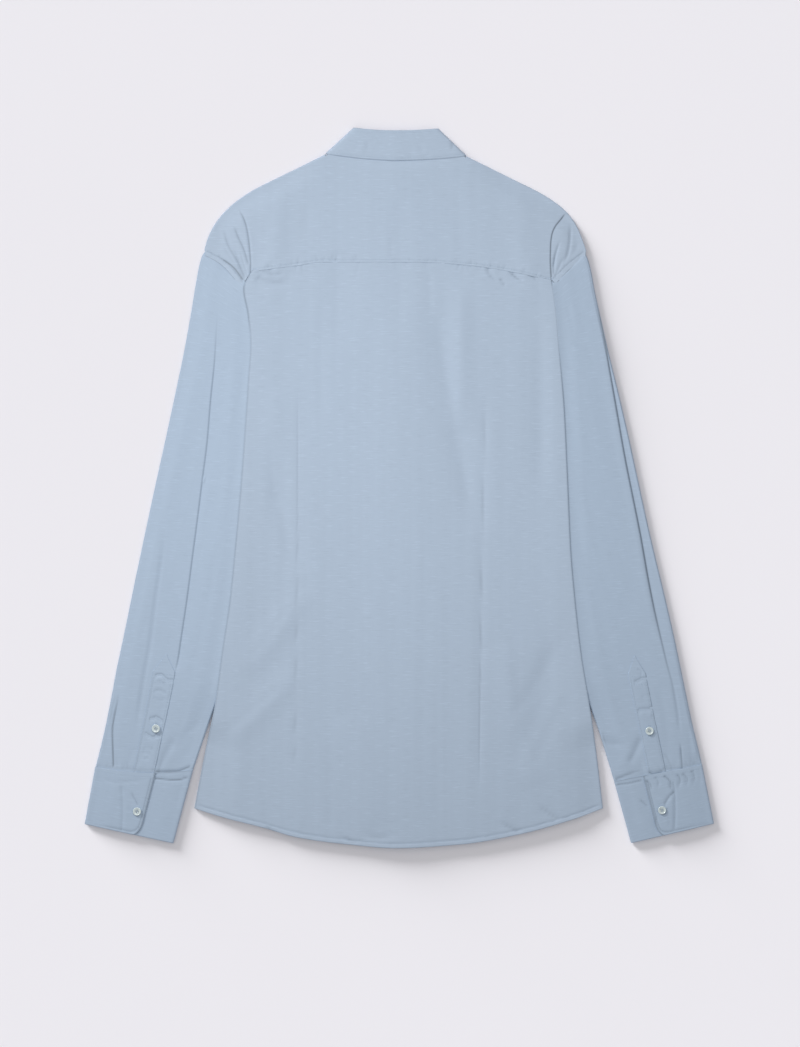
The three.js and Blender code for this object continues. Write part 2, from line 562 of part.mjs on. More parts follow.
function makeYoke() {
  const columns = yokeColumns();
  const levels = [0, 0.14, 0.3, 0.46, 0.62, 0.77, 0.89];
  const edgeInset = 4;
  const underInsets = [edgeInset, 10, YOKE_WRAP];
  const profile = columns.map(({ foot, top, wrapped }) => {
    const height = Math.hypot(top.x - foot.x, top.y - foot.y);
    const squeeze = Math.min(1, (0.45 * height) / YOKE_WRAP);
    const neckBlend = Math.min(Math.abs(top.x - NECK_SEAM[0].x), Math.abs(top.x - NECK_SEAM[4].x));
    const sunk = wrapped ? smoothStep(0, NECK_BLEND, neckBlend) : 0;
    const edge = mix(BACK_REST, FLOOR_LAYER + SIDE_ROUND, sunk);
    const at = (inset, z) => {
      const share = 1 - (inset * squeeze) / height;
      return new THREE.Vector3(mix(foot.x, top.x, share), mix(foot.y, top.y, share), z);
    };
    const points = levels.map((level) => {
      const start = SEAM_GAP / height;
      const share = mix(start, 1 - (8 * squeeze) / height, level / 0.89);
      const x = mix(foot.x, top.x, share);
      const y = mix(foot.y, top.y, share);
      const away = height * (1 - share);
      return new THREE.Vector3(x, y, mix(edge, yokeHeight(x, y), smoothStep(2, 26, away)));
    });
    points.push(at(edgeInset, wrapped ? edge : backHeight(top.x, top.y)));
    if (!wrapped) points.push(at(SEAM_GAP, backHeight(top.x, top.y)));
    const corners = roundCorners(FLOOR_LAYER, edge).reverse();
    if (wrapped) corners.forEach(({ inset, z }) => points.push(at(inset, z)));
    else corners.slice(1).forEach(({ z }) => points.push(at(SEAM_GAP, z)));
    underInsets.forEach((inset) => points.push(at(inset, FLOOR_LAYER)));
    return points;
  });
  const rowCount = profile[0].length;
  const rows = [];
  for (let i = 0; i < rowCount; i += 1) {
    rows.push(profile.map((points) => points[i]));
  }
  const topRows = levels.length + 1;
  const keep = (i, j) => i < topRows || (columns[j].wrapped && columns[j + 1].wrapped);
  return clothWall('back_yoke', rows, { keep });
}

// Collar base points of one front, moved outward from the collar
function neckPoints(first, last) {
  return COLLAR_STATIONS.slice(first, last).map(({ baseX, baseY, topX, topY }) => {
    const away = Math.hypot(baseX - topX, baseY - topY);
    return {
      x: baseX + ((baseX - topX) / away) * NECK_GAP,
      y: baseY + ((baseY - topY) / away) * NECK_GAP,
    };
  });
}

function frontTop(side) {
  const onSide = (top) => (side === 'left' ? top.x < 0 : top.x > 0);
  const columns = yokeColumns().filter(({ wrapped, top }) => wrapped && onSide(top));
  const points = columns.map(({ foot, top }) => {
    const height = Math.hypot(top.x - foot.x, top.y - foot.y);
    const squeeze = Math.min(1, (0.45 * height) / YOKE_WRAP);
    const share = 1 - (YOKE_WRAP * squeeze + FRONT_GAP) / height;
    return { x: mix(foot.x, top.x, share), y: mix(foot.y, top.y, share) };
  });
  return side === 'left' ? points : points.reverse();
}

function frontSide(side) {
  const line = side === 'left' ? leftSide : rightSide;
  const inward = side === 'left' ? 1 : -1;
  const armhole = side === 'left' ? armholeLeft : armholeRight;
  const points = [];
  for (let v = 0; v <= 0.9; v += 0.075) {
    const edge = line(v);
    points.push({ x: edge.x + inward * (SEAM_TUCK + FRONT_GAP), y: edge.y + FRONT_HEM_INSET });
  }
  [0.93, 0.6, 0.3].forEach((share) => {
    const seam = armhole(share);
    points.push({ x: seam.x + inward * 2, y: seam.y + 2.5 });
  });
  return points;
}

// Shares of a line's length at its points, with two more rows for the hem
function levelsOf(points) {
  const levels = [0, HEM_SHARE * 0.9, HEM_SHARE * 1.3];
  let walked = 0;
  const steps = points.slice(1).map(
    (point, i) => Math.hypot(point.x - points[i].x, point.y - points[i].y),
  );
  const length = steps.reduce((sum, step) => sum + step, 0);
  steps.forEach((step) => {
    walked += step;
    levels.push(Math.min(1, walked / length));
  });
  return levels;
}

function makeFront(side) {
  const inward = side === 'left' ? 1 : -1;
  const innerX = side === 'left' ? -PLACKET_WIDTH / 2 - SEAM_GAP / 2 : STAND_END;
  const neck = side === 'left' ? neckPoints(2, 7) : neckPoints(22, 27).reverse();
  const top = frontTop(side);
  const outerPoints = frontSide(side);
  outerPoints.push(top[0]);
  const innerPoints = [];
  const hem = columnReader(HEM_LINE, 'x', 'y');
  for (let k = 0; k <= 8; k += 1) {
    innerPoints.push({ x: innerX, y: mix(hem(innerX) + FRONT_HEM_INSET, NECK_FRONT - 2, k / 8) });
  }
  innerPoints.push(...neck, top[top.length - 1]);
  const hemPoints = [];
  for (let k = 0; k <= 8; k += 1) {
    const x = mix(outerPoints[0].x, innerX, k / 8);
    hemPoints.push({ x, y: hem(x) + FRONT_HEM_INSET });
  }
  hemPoints[0] = outerPoints[0];
  const patch = patchBetween(
    lineThrough(hemPoints), straightLine(top), lineThrough(outerPoints), straightLine(innerPoints),
  );
  const lifts = side === 'left' ? LEFT_FRONT_LIFT : RIGHT_FRONT_LIFT;
  const heightAt = columnReader(lifts, 'x', 'z');
  const rows = [];
  const targets = side === 'left' ? LEFT_FRONT_COLUMNS : RIGHT_FRONT_COLUMNS;
  for (const v of levelsOf(innerPoints)) {
    const inner = patch(1, v);
    const outer = patch(0, v);
    const width = Math.abs(inner.x - outer.x);
    const extra = v < HEM_SHARE ? (HEM_CLOTH - CLOTH) / 2 : 0;
    const insets = targets.map((x, k) => Math.max(
      x - Math.abs(inner.x) * Math.sign(-inward * inner.x),
      (targets.length - 1 - k) * COLUMN_SQUEEZE,
    ));
    const row = [];
    const put = (share) => {
      const point = patch(share, v);
      row.push(new THREE.Vector3(point.x, point.y, heightAt(inward * point.x) + extra));
    };
    [0, 0.06, 0.14, 0.25, 0.5, 0.75].forEach((share) => put(share * (1 - insets[0] / width)));
    insets.forEach((inset) => put(1 - inset / width));
    rows.push(inward > 0 ? row : row.reverse());
  }
  return clothWall(`front_${side}`, rows, { wall: (i) => (i < 2 ? HEM_CLOTH : CLOTH) });
}

function makePlacket() {
  const hem = columnReader(HEM_LINE, 'x', 'y');
  const half = PLACKET_WIDTH / 2 - SEAM_GAP / 2;
  const rows = [];
  for (let k = 0; k <= 12; k += 1) {
    const row = [];
    for (let n = 0; n <= 4; n += 1) {
      const x = mix(-half, half, n / 4);
      row.push(new THREE.Vector3(x, mix(hem(x) + FRONT_HEM_INSET, NECK_FRONT - 2, k / 12), PLACKET_LAYER));
    }
    rows.push(row);
  }
  return clothWall('front_placket', rows);
}

function makeCollar() {
  const rows = [];
  for (let k = 0; k < COLLAR_ROWS; k += 1) {
    const share = k / (COLLAR_ROWS - 1);
    rows.push(COLLAR_STATIONS.map((row) => new THREE.Vector3(
      mix(row.baseX, row.topX, share),
      mix(row.baseY, row.topY, share),
      row.z,
    )));
  }
  return clothWall('collar_band', rows, { wall: () => STIFF_CLOTH });
}

// Sleeves
function sleeveUpper(row, share) {
  const width = Math.hypot(row.innerX - row.outerX, row.innerY - row.outerY);
  const fromInner = (1 - share) * width;
  const fromOuter = share * width;
  const rise = smoothStep(SLEEVE_TUCK, SLEEVE_TUCK + SLEEVE_RISE, fromInner)
    * smoothStep(0, SLEEVE_RISE, fromOuter);
  const away = (share - row.fold) * width;
  const dip = row.depth * Math.exp(-((away / FOLD_SPREAD) ** 2));
  return FLOOR_LAYER + SLEEVE_ROUND + row.crown * rise - dip * rise;
}

function strapShares(strap, i, count) {
  const along = (i - PLACKET_FIRST_SECTION) / (count - 1 - PLACKET_FIRST_SECTION);
  const near = Math.max(-1, along);
  return { first: mix(strap.atTop, strap.atCuff, near), last: mix(strap.topEnd, strap.cuffEnd, near) };
}

function sleeveShares(row, strap, i, count) {
  const { first, last } = strapShares(strap, i, count);
  const middle = (first + last) / 2;
  const foldStep = 0.05;
  const start = row.fold < first
    ? [0.04, row.fold - 0.03, row.fold, row.fold + foldStep, mix(row.fold + foldStep, first, 0.5)]
    : [0.05, first / 3, (2 * first) / 3];
  const pastStrap = row.fold < first ? [] : [Math.max(row.fold, last + 0.015)];
  const toInner = [0.3, 0.55, 0.8].map((share) => mix(last, 0.94, share));
  return [...start, first, middle, last, ...pastStrap, ...toInner, 0.95];
}

function sectionPlace(row, share, sag) {
  return {
    x: mix(row.outerX, row.innerX, share),
    y: mix(row.outerY, row.innerY, share) - sag * Math.sin(Math.PI * share),
  };
}

function makeSleeve(side, table, strap) {
  const count = table.length;
  const rows = table.map((row, i) => {
    const sag = i === count - 1 && side === 'left' ? CUFF_SAG : 0;
    const width = Math.hypot(row.innerX - row.outerX, row.innerY - row.outerY);
    const corners = roundCorners(FLOOR_LAYER, FLOOR_LAYER + SLEEVE_ROUND);
    const ring = [];
    const put = (share, z) => {
      const place = sectionPlace(row, share, sag);
      ring.push(new THREE.Vector3(place.x, place.y, z));
    };
    [0.05, 0.28, 0.5, 0.72, 0.95].forEach((share) => put(share, FLOOR_LAYER));
    corners.forEach(({ inset, z }) => put(1 - inset / width, z));
    const upper = sleeveShares(row, strap, i, count).reverse();
    upper.forEach((share) => put(share, sleeveUpper(row, share)));
    corners.slice().reverse().forEach(({ inset, z }) => put(inset / width, z));
    return side === 'left' ? ring.reverse() : ring;
  });
  return clothWall(`sleeve_${side}`, rows, { closed: true });
}

function makeSleevePlacket(side, table, strap) {
  const count = table.length;
  const lift = CLOTH + LAY_GAP;
  const rows = [];
  for (let i = PLACKET_FIRST_SECTION; i < count; i += 1) {
    const row = table[i];
    const { first, last } = strapShares(strap, i, count);
    const sag = i === count - 1 && side === 'left' ? CUFF_SAG : 0;
    rows.push([first, (first + last) / 2, last].map((share) => {
      const place = sectionPlace(row, share, sag);
      const clear = i === count - 1 ? 1 : 0;
      return new THREE.Vector3(place.x, place.y + clear, sleeveUpper(row, share) + lift);
    }));
  }
  const upward = rows[0][1].clone().sub(rows[1][1]).normalize();
  const point = rows[0][1].clone().addScaledVector(upward, PLACKET_POINT);
  const shoulder = (n) => rows[0][n].clone().lerp(point, POINT_SHARPNESS);
  rows.unshift([shoulder(0), point, shoulder(2)]);
  if (side === 'left') rows.forEach((row) => row.reverse());
  return clothWall(`sleeve_placket_${side}`, rows);
}

function cuffPlace(cuff, share, down) {
  const corner = (axis) => mix(
    mix(cuff.topOuter[axis], cuff.topInner[axis], share),
    mix(cuff.endOuter[axis], cuff.endInner[axis], share),
    down,
  );
  return { x: corner(0), y: corner(1) - cuff.sag * (1 - down) * Math.sin(Math.PI * share) };
}

function makeCuff(side, cuff) {
  const rows = [0, 0.25, 0.5, 0.75, 0.9, 1].map((down) => {
    const [outerX, outerY] = cuff.topOuter;
    const [innerX, innerY] = cuff.topInner;
    const width = Math.hypot(innerX - outerX, innerY - outerY);
    const edge = cuff.overlap - OVERLAP_CORNER * smoothStep(0.75, 1, down);
    const low = FLOOR_STIFF;
    const underEnd = FLOOR_STIFF + STIFF_CLOTH + LAY_GAP * 2;
    const flap = underEnd + STIFF_CLOTH + LAY_GAP;
    const corners = roundCorners(low, low + SLEEVE_ROUND);
    const line = [];
    const put = (share, z) => {
      const place = cuffPlace(cuff, share, down);
      line.push(new THREE.Vector3(place.x, place.y, z));
    };
    put(cuff.overlap - OVERLAP_LENGTH, underEnd);
    put(cuff.overlap, underEnd);
    put(0.8, underEnd + 0.5);
    put(0.94, underEnd);
    corners.slice().reverse().forEach(({ inset, z }) => put(1 - inset / width, z));
    [0.95, 0.7, 0.4, 0.05].forEach((share) => put(share, low));
    corners.forEach(({ inset, z }) => put(inset / width, z));
    put(0.05, low + SLEEVE_ROUND);
    put(0.18, flap - 0.5);
    put(0.32, flap);
    put(mix(0.32, edge, 0.5), flap);
    put(edge, flap);
    return side === 'left' ? line : line.reverse();
  });
  return clothWall(`cuff_${side}`, rows, { wall: () => STIFF_CLOTH });
}

// A button with a raised rim. Facing is 1 when its front is upward and -1 when it is down.
function makeButton(name, x, y, foot, facing) {
  const rim = BUTTON_RADIUS * 0.62;
  const profile = [
    new THREE.Vector2(0, 0),
    new THREE.Vector2(BUTTON_RADIUS * 0.8, 0),
    new THREE.Vector2(BUTTON_RADIUS, BUTTON_THICKNESS * 0.5),
    new THREE.Vector2(BUTTON_RADIUS * 0.84, BUTTON_THICKNESS),
    new THREE.Vector2(rim, BUTTON_THICKNESS * 0.7),
    new THREE.Vector2(0, BUTTON_THICKNESS * 0.65),
  ];
  const geometry = new THREE.LatheGeometry(profile, BUTTON_SIDES);
  geometry.rotateX(facing > 0 ? Math.PI / 2 : -Math.PI / 2);
  geometry.translate(x, y, facing > 0 ? foot : foot + BUTTON_THICKNESS);
  const mesh = new THREE.Mesh(geometry, pearl);
  mesh.name = name;
  return mesh;
}

const shirt = new THREE.Group();
shirt.add(makeBack(), makeYoke(), makeFront('left'), makeFront('right'), makePlacket(), makeCollar());
shirt.add(makeSleeve('left', SLEEVE_LEFT, STRAP_LEFT), makeSleeve('right', SLEEVE_RIGHT, STRAP_RIGHT));
shirt.add(makeSleevePlacket('left', SLEEVE_LEFT, STRAP_LEFT));
shirt.add(makeSleevePlacket('right', SLEEVE_RIGHT, STRAP_RIGHT));
shirt.add(makeCuff('left', CUFF_LEFT), makeCuff('right', CUFF_RIGHT));

for (const side of ['left', 'right']) {
  const { cuff, sleeve } = SLEEVE_BUTTONS[side];
  shirt.add(makeButton(`button_cuff_${side}`, ...cuff, CUFF_TOP, 1));
  shirt.add(makeButton(`button_sleeve_${side}`, ...sleeve, STRAP_TOP, 1));
}
shirt.add(makeButton('button_collar', 0, COLLAR_BUTTON_HEIGHT, 0, -1));
for (let n = 0; n < FRONT_BUTTONS; n += 1) {
  const y = FIRST_FRONT_BUTTON - n * FRONT_BUTTON_SPACING;
  shirt.add(makeButton(`button_front_${n + 1}`, 0, y, 0, -1));
}

export default shirt;
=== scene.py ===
# %% [markdown]
# # A long sleeve dress shirt, laid flat on its front
# The back of the shirt is upward and its collar is at +Y. Left and right are the wearer's,
# so the left side is at negative X. Every size below is in millimetres, and it becomes
# metres only where a mesh is made, because Blender measures in metres.

# %% The fixed frame
import math
import random
from typing import NamedTuple

import bmesh
import bpy
import numpy as np
from mathutils import Matrix, Vector
from mathutils.bvhtree import BVHTree


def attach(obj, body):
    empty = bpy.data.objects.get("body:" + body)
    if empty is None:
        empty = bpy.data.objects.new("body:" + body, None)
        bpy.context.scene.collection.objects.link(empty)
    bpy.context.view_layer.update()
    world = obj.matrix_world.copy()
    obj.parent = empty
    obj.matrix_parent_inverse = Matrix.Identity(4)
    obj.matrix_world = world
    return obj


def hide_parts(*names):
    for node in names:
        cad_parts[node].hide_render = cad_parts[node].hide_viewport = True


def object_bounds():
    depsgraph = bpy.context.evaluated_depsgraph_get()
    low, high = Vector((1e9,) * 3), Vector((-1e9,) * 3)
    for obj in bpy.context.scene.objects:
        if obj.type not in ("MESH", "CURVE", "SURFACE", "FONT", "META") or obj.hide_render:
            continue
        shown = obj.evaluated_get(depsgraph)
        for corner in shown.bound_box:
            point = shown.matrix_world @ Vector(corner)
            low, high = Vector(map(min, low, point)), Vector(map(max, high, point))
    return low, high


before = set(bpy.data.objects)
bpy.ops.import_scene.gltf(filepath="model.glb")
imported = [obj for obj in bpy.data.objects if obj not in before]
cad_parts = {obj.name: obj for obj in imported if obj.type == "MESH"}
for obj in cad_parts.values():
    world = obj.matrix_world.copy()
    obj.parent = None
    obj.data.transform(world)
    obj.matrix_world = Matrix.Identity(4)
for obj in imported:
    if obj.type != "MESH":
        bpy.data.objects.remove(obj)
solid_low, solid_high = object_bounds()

MM = 0.001
solid_size = [round(side / MM, 1) for side in solid_high - solid_low]
print("frame:", len(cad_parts), "nodes,", solid_size, "mm")

# %% [markdown]
# ## The camera first
# The photograph looks straight down on the shirt. A long lens from far above keeps the
# outline flat, as a studio camera on a boom does. The lens sees 36 mm of sensor on the
# long side of the picture, so the distance follows from the height of cloth in view.

# %% Camera
VIEW_HEIGHT = 1151.7
VIEW_MIDDLE = (0.8, -39.4)
LENS = 85
SENSOR = 36
CLOTH_LEVEL = 5

camera = bpy.data.objects.new("camera", bpy.data.cameras.new("camera"))
camera.data.lens = LENS
camera.data.sensor_width = SENSOR
camera.data.clip_end = 20
camera.location = Vector((*VIEW_MIDDLE, VIEW_HEIGHT * LENS / SENSOR + CLOTH_LEVEL)) * MM
bpy.context.scene.collection.objects.link(camera)
bpy.context.scene.camera = camera
print("camera height:", round(camera.location.z, 3), "m")

# %% [markdown]
# ## Reading a table as a smooth line
# A maker draws a pattern piece through a few measured points. These readers do the same:
# they pass a smooth curve through the rows of a table and never swing past its values.
# NumPy reads a whole grid of cloth in one go, which is why the helpers take arrays.

# %% Smooth readers
def mix(start, end, share):
    return start + (end - start) * share


def smooth_step(low, high, value):
    share = np.clip((value - low) / (high - low), 0, 1)
    return share * share * (3 - 2 * share)


def smooth_reader(places, values):
    places, values = np.array(places, float), np.array(values, float)
    chords = np.diff(values) / np.diff(places)
    slopes = np.concatenate([chords[:1], np.zeros(len(chords) - 1), chords[-1:]])
    before, after = chords[:-1], chords[1:]
    same_way = before * after > 0
    slopes[1:-1][same_way] = (2 * before * after)[same_way] / (before + after)[same_way]

    def read(at):
        at = np.clip(at, places[0], places[-1])
        i = np.clip(np.searchsorted(places, at) - 1, 0, len(places) - 2)
        span = places[i + 1] - places[i]
        t = (at - places[i]) / span
        return (values[i] * (2 * t**3 - 3 * t**2 + 1) + slopes[i] * span * (t**3 - 2 * t**2 + t)
                + values[i + 1] * (3 * t**2 - 2 * t**3) + slopes[i + 1] * span * (t**3 - t**2))
    return read


def line_through(points):
    """A smooth flat line, read by the share of its length."""
    points = np.array(points, float)
    walked = np.concatenate([[0], np.cumsum(np.hypot(*np.diff(points, axis=0).T))])
    read_x = smooth_reader(walked / walked[-1], points[:, 0])
    read_y = smooth_reader(walked / walked[-1], points[:, 1])
    return lambda share: (read_x(share), read_y(share))


def patch_between(foot, top, left, right):
    """A flat patch whose foot and top run across it, and whose left and right run up it."""
    def read(u, v):
        at = []
        for axis in (0, 1):
            at.append((1 - v) * foot(u)[axis] + v * top(u)[axis]
                      + (1 - u) * left(v)[axis] + u * right(v)[axis]
                      - (1 - u) * (1 - v) * foot(0)[axis] - u * (1 - v) * foot(1)[axis]
                      - (1 - u) * v * top(0)[axis] - u * v * top(1)[axis])
        return at
    return read


FINE_SHARES = 4001


def spaced(count, close_to=(), width=0.02, gain=4.0):
    """Shares from 0 to 1, closer together near the given ones."""
    fine = np.linspace(0, 1, FINE_SHARES)
    density = np.ones_like(fine)
    for place in close_to:
        density += gain * np.exp(-(((fine - place) / width) ** 2))
    walked = np.concatenate([[0], np.cumsum((density[1:] + density[:-1]) / 2)])
    return np.interp(np.linspace(0, 1, count), walked / walked[-1], fine)


def plain_line(points):
    """The same points as tuples of plain numbers."""
    return [tuple(map(float, point)) for point in points]


def shifted(line, rise):
    return [(x, y + rise) for x, y in line]


# %% [markdown]
# ## Creases
# Real creases are never alike, so each main one is listed on its own: the line that it
# follows, how deep and wide it is, and how it ends. A trough or ridge is even on both
# sides of its line. A lip stands up on the left-hand side of the line's direction, and a
# step drops there and is level again a little further on, as where cloth folds over
# itself. Vertex moves were chosen over a bump texture, so that the mesh has the folds too.
# Where the cloth pinches shut, light hardly gets in, so a crease may also carry a shade,
# which darkens the cloth along its line.

# %% Creases
class Crease(NamedTuple):
    line: list
    depth: float = 0.0
    width: float = 4.0
    lip: float = 0.0
    step: float = 0.0
    recover: float = 14.0
    ends: tuple = (0.25, 0.25)
    shade: float = 0.0


LINE_PIECES = 24
REACH = 3.0
NARROWEST_SHADE = 0.8
SHADE_SHARE = 0.5
LIP_GAIN = 1.6
DROP_SHARE = 0.4
SLIVER = 1e-6


def beside(line, x, y):
    """How far points are from a line, over 0 on its left-hand side, and at which share."""
    at_x, at_y = line_through(line)(np.linspace(0, 1, LINE_PIECES + 1))
    nearest = np.full(x.shape, np.inf)
    signed, share = np.zeros_like(x), np.zeros_like(x)
    for k in range(LINE_PIECES):
        along_x, along_y = at_x[k + 1] - at_x[k], at_y[k + 1] - at_y[k]
        t = ((x - at_x[k]) * along_x + (y - at_y[k]) * along_y) / (along_x**2 + along_y**2)
        t = np.clip(t, 0, 1)
        off_x, off_y = x - at_x[k] - t * along_x, y - at_y[k] - t * along_y
        away = np.hypot(off_x, off_y)
        nearer = away < nearest
        nearest = np.where(nearer, away, nearest)
        signed = np.where(nearer, away * np.sign(along_x * off_y - along_y * off_x), signed)
        share = np.where(nearer, (k + t) / LINE_PIECES, share)
    return signed, share


def crease_field(creases, x, y):
    """How far a list of creases lifts the cloth at each point, and how much it darkens it."""
    height, shade = np.zeros_like(x), np.zeros_like(x)
    for crease in creases:
        reach = REACH * max(crease.width, crease.recover if crease.step else 0)
        xs, ys = np.array(crease.line).T
        near = ((x > xs.min() - reach) & (x < xs.max() + reach)
                & (y > ys.min() - reach) & (y < ys.max() + reach))
        if not near.any():
            continue
        away, share = beside(crease.line, x[near], y[near])
        taper = (smooth_step(-SLIVER, crease.ends[0] + SLIVER, share)
                 * smooth_step(-SLIVER, crease.ends[1] + SLIVER, 1 - share))
        dip = np.exp(-((away / crease.width) ** 2))
        drop = (smooth_step(-crease.width, crease.width * DROP_SHARE, away)
                * np.exp(-np.maximum(away, 0) / crease.recover))
        height[near] += taper * (crease.lip * LIP_GAIN * away / crease.width * dip
                                 - crease.depth * dip - crease.step * drop)
        narrow = max(NARROWEST_SHADE, crease.width * SHADE_SHARE)
        shade[near] += taper * crease.shade * np.exp(-((away / narrow) ** 2))
    return height, shade


def crease_height(creases, x, y):
    return crease_field(creases, x, y)[0]


PUCKER_SHADE = 0.25
PUCKER_LEAN = 0.35
PUCKER_LENGTHS = (0.35, 1)
PUCKER_DEPTHS = (0.4, 1)
PUCKER_SIGNS = (1, 1, -0.6)
PUCKER_WIDTHS = (0.7, 1.3)
PUCKER_ENDS = (0.02, 0.85)
CLOSE_BY = 0.01


def puckers(seam, count, longest, depth, width, seed, sides=(1, -1), part=(0.02, 0.98)):
    """Short creases that run away from a seam, uneven in place, length and depth."""
    chance = random.Random(seed)
    read = line_through(seam)
    made = []
    for k in range(count):
        at = mix(*part, (k + chance.uniform(0.1, 0.9)) / count)
        x, y = read(at)
        ahead_x, ahead_y = read(min(1, at + CLOSE_BY))
        back_x, back_y = read(max(0, at - CLOSE_BY))
        turn = math.atan2(ahead_y - back_y, ahead_x - back_x)
        turn += chance.uniform(-PUCKER_LEAN, PUCKER_LEAN)
        side = chance.choice(sides)
        length = longest * chance.uniform(*PUCKER_LENGTHS)
        end = (x - side * math.sin(turn) * length, y + side * math.cos(turn) * length)
        deep = depth * chance.uniform(*PUCKER_DEPTHS) * chance.choice(PUCKER_SIGNS)
        made.append(Crease([(x, y), end], depth=deep,
                           width=width * chance.uniform(*PUCKER_WIDTHS), ends=PUCKER_ENDS,
                           shade=PUCKER_SHADE * max(0, deep)))
    return made


# %% [markdown]
# ## Colours and threads
# The cloth is a fine plain weave in light blue with a soft sheen. Its look is built in
# layers, from the yarns that only show close up, through the slubs that read as short
# pale or dark dashes across the cloth, to slow changes of colour over a hand's width.
# Writing the maths as Python expressions keeps each layer on one line, so one small class
# wraps a socket and adds the node that an operator stands for.

# %% Shader expressions
class Value:
    """A socket in a material, with operators that add their own Math nodes."""

    def __init__(self, finish, socket):
        self.finish = finish
        self.socket = socket

    def _math(self, operation, *values):
        return self.finish.node("ShaderNodeMath", {"operation": operation}, dict(enumerate(values)))

    def __add__(self, other):
        return self._math("ADD", self, other)

    def __sub__(self, other):
        return self._math("SUBTRACT", self, other)

    def __rsub__(self, other):
        return self._math("SUBTRACT", other, self)

    def __mul__(self, other):
        return self._math("MULTIPLY", self, other)

    __radd__ = __add__
    __rmul__ = __mul__


class Finish:
    """A material and the one way in which its nodes are added."""

    def __init__(self, name):
        self.material = bpy.data.materials.new(name)
        self.material.use_nodes = True
        self.tree = self.material.node_tree
        self.shader = self.tree.nodes["Principled BSDF"]

    def node(self, kind, settings=None, sockets=None, output=0):
        node = self.tree.nodes.new(kind)
        for name, value in (settings or {}).items():
            setattr(node, name, value)
        for name, value in (sockets or {}).items():
            self.feed(node.inputs[name], value)
        return Value(self, node.outputs[output])

    def feed(self, socket, value):
        if isinstance(value, Value):
            self.tree.links.new(value.socket, socket)
        else:
            socket.default_value = value

    def set(self, **sockets):
        for name, value in sockets.items():
            self.feed(self.shader.inputs[name.replace("_", " ")], value)
        return self.material

    def noise(self, vector, scale, detail=2.0, roughness=0.5):
        return self.node("ShaderNodeTexNoise", {}, {
            "Vector": vector, "Scale": scale, "Detail": detail, "Roughness": roughness})

    def stretch(self, vector, scale):
        return self.node("ShaderNodeMapping", {}, {"Vector": vector, "Scale": scale})

    def span(self, value, low, high, to_low=0.0, to_high=1.0):
        return self.node("ShaderNodeMapRange", {"interpolation_type": "SMOOTHSTEP"}, {
            "Value": value, "From Min": low, "From Max": high, "To Min": to_low,
           "To Max": to_high})


# %% [markdown]
# The Mix node keeps three sets of sockets with the same names, one for each kind of data,
# so the two colours are reached by number.

# %% Colour mixing
def mix_colours(finish, share, first, second):
    node = finish.tree.nodes.new("ShaderNodeMix")
    node.data_type = "RGBA"
    finish.feed(node.inputs[0], share)
    finish.feed(node.inputs[6], first)
    finish.feed(node.inputs[7], second)
    return Value(finish, node.outputs[2])


# %% [markdown]
# The shirting reads its own UV map, which holds flat cloth sizes in metres. The yarns
# then follow each piece's grain, down the sleeves as well as down the body, as they do on
# a cut piece. The yarn pitch is 0.4 mm, and the slubs are about 6 mm long. The sleeves,
# their straps and cuffs are tinted a shade bluer and the body a shade warmer: a painted
# difference in sheen between pieces cut on different grains.

# %% Shirting
SHIRT_BLUE = (0.433, 0.530, 0.653)
# The third share gives the dark blue of the painted shade.
DEEP, PALE, PAINTED_SHADE_TONE = 0.93, 1.07, 0.12
CLOUDS_A_METRE = (9, 4, 1)
STREAKS_A_METRE = (95, 2.2, 1)
SLUBS_A_METRE = (70, 760, 1)
FUZZ_A_METRE = 900.0
YARN = 0.0004
WAVE_UNIT = 20


def shirting(name, tint=(1, 1, 1)):
    finish = Finish(name)
    grain = finish.node("ShaderNodeUVMap", {"uv_map": "grain"})
    slow = finish.noise(finish.stretch(grain, CLOUDS_A_METRE), 1.0, 3.0)
    bands = finish.noise(finish.stretch(grain, STREAKS_A_METRE), 1.0, 2.0)
    slubs = finish.noise(finish.stretch(grain, SLUBS_A_METRE), 1.0, 1.0)
    yarn_wave = {"Vector": grain, "Scale": 2 * math.pi / (WAVE_UNIT * YARN), "Distortion": 0.0}
    warp = finish.node("ShaderNodeTexWave", {"bands_direction": "X"}, yarn_wave, output=1)
    weft = finish.node("ShaderNodeTexWave", {"bands_direction": "Y"}, yarn_wave, output=1)
    yarns = warp * 0.5 + weft * 0.5
    slub = finish.span(slubs, 0.60, 0.70)
    thin = finish.span(slubs, 0.40, 0.30)
    light = slow * 0.35 + bands * 0.45 + slub * 0.50 - thin * 0.30 + yarns * 0.12
    deep, pale, painted_shade_blue = ([channel * tinted * share for channel, tinted in zip(SHIRT_BLUE, tint)]
                           for share in (DEEP, PALE, PAINTED_SHADE_TONE))
    colour = mix_colours(finish, light, (*deep, 1), (*pale, 1))
    # Painted shade: the shade attribute mixes the colour towards a dark blue along creases, seams, laps
    # and rims.
    shade = finish.node("ShaderNodeAttribute", {"attribute_name": "shade"}, output=2)
    colour = mix_colours(finish, shade, colour, (*painted_shade_blue, 1))
    relief = yarns * 0.5 + slub * 0.5 + finish.noise(grain, FUZZ_A_METRE) * 0.2
    normal = finish.node("ShaderNodeBump", {}, {
        "Height": relief, "Strength": 0.12, "Distance": 0.0002})
    rough = finish.span(slow, 0.3, 0.7, 0.66, 0.76)
    return finish.set(Base_Color=colour, Roughness=rough, Normal=normal,
                      Sheen_Weight=0.12, Sheen_Roughness=0.4, Specular_IOR_Level=0.35)


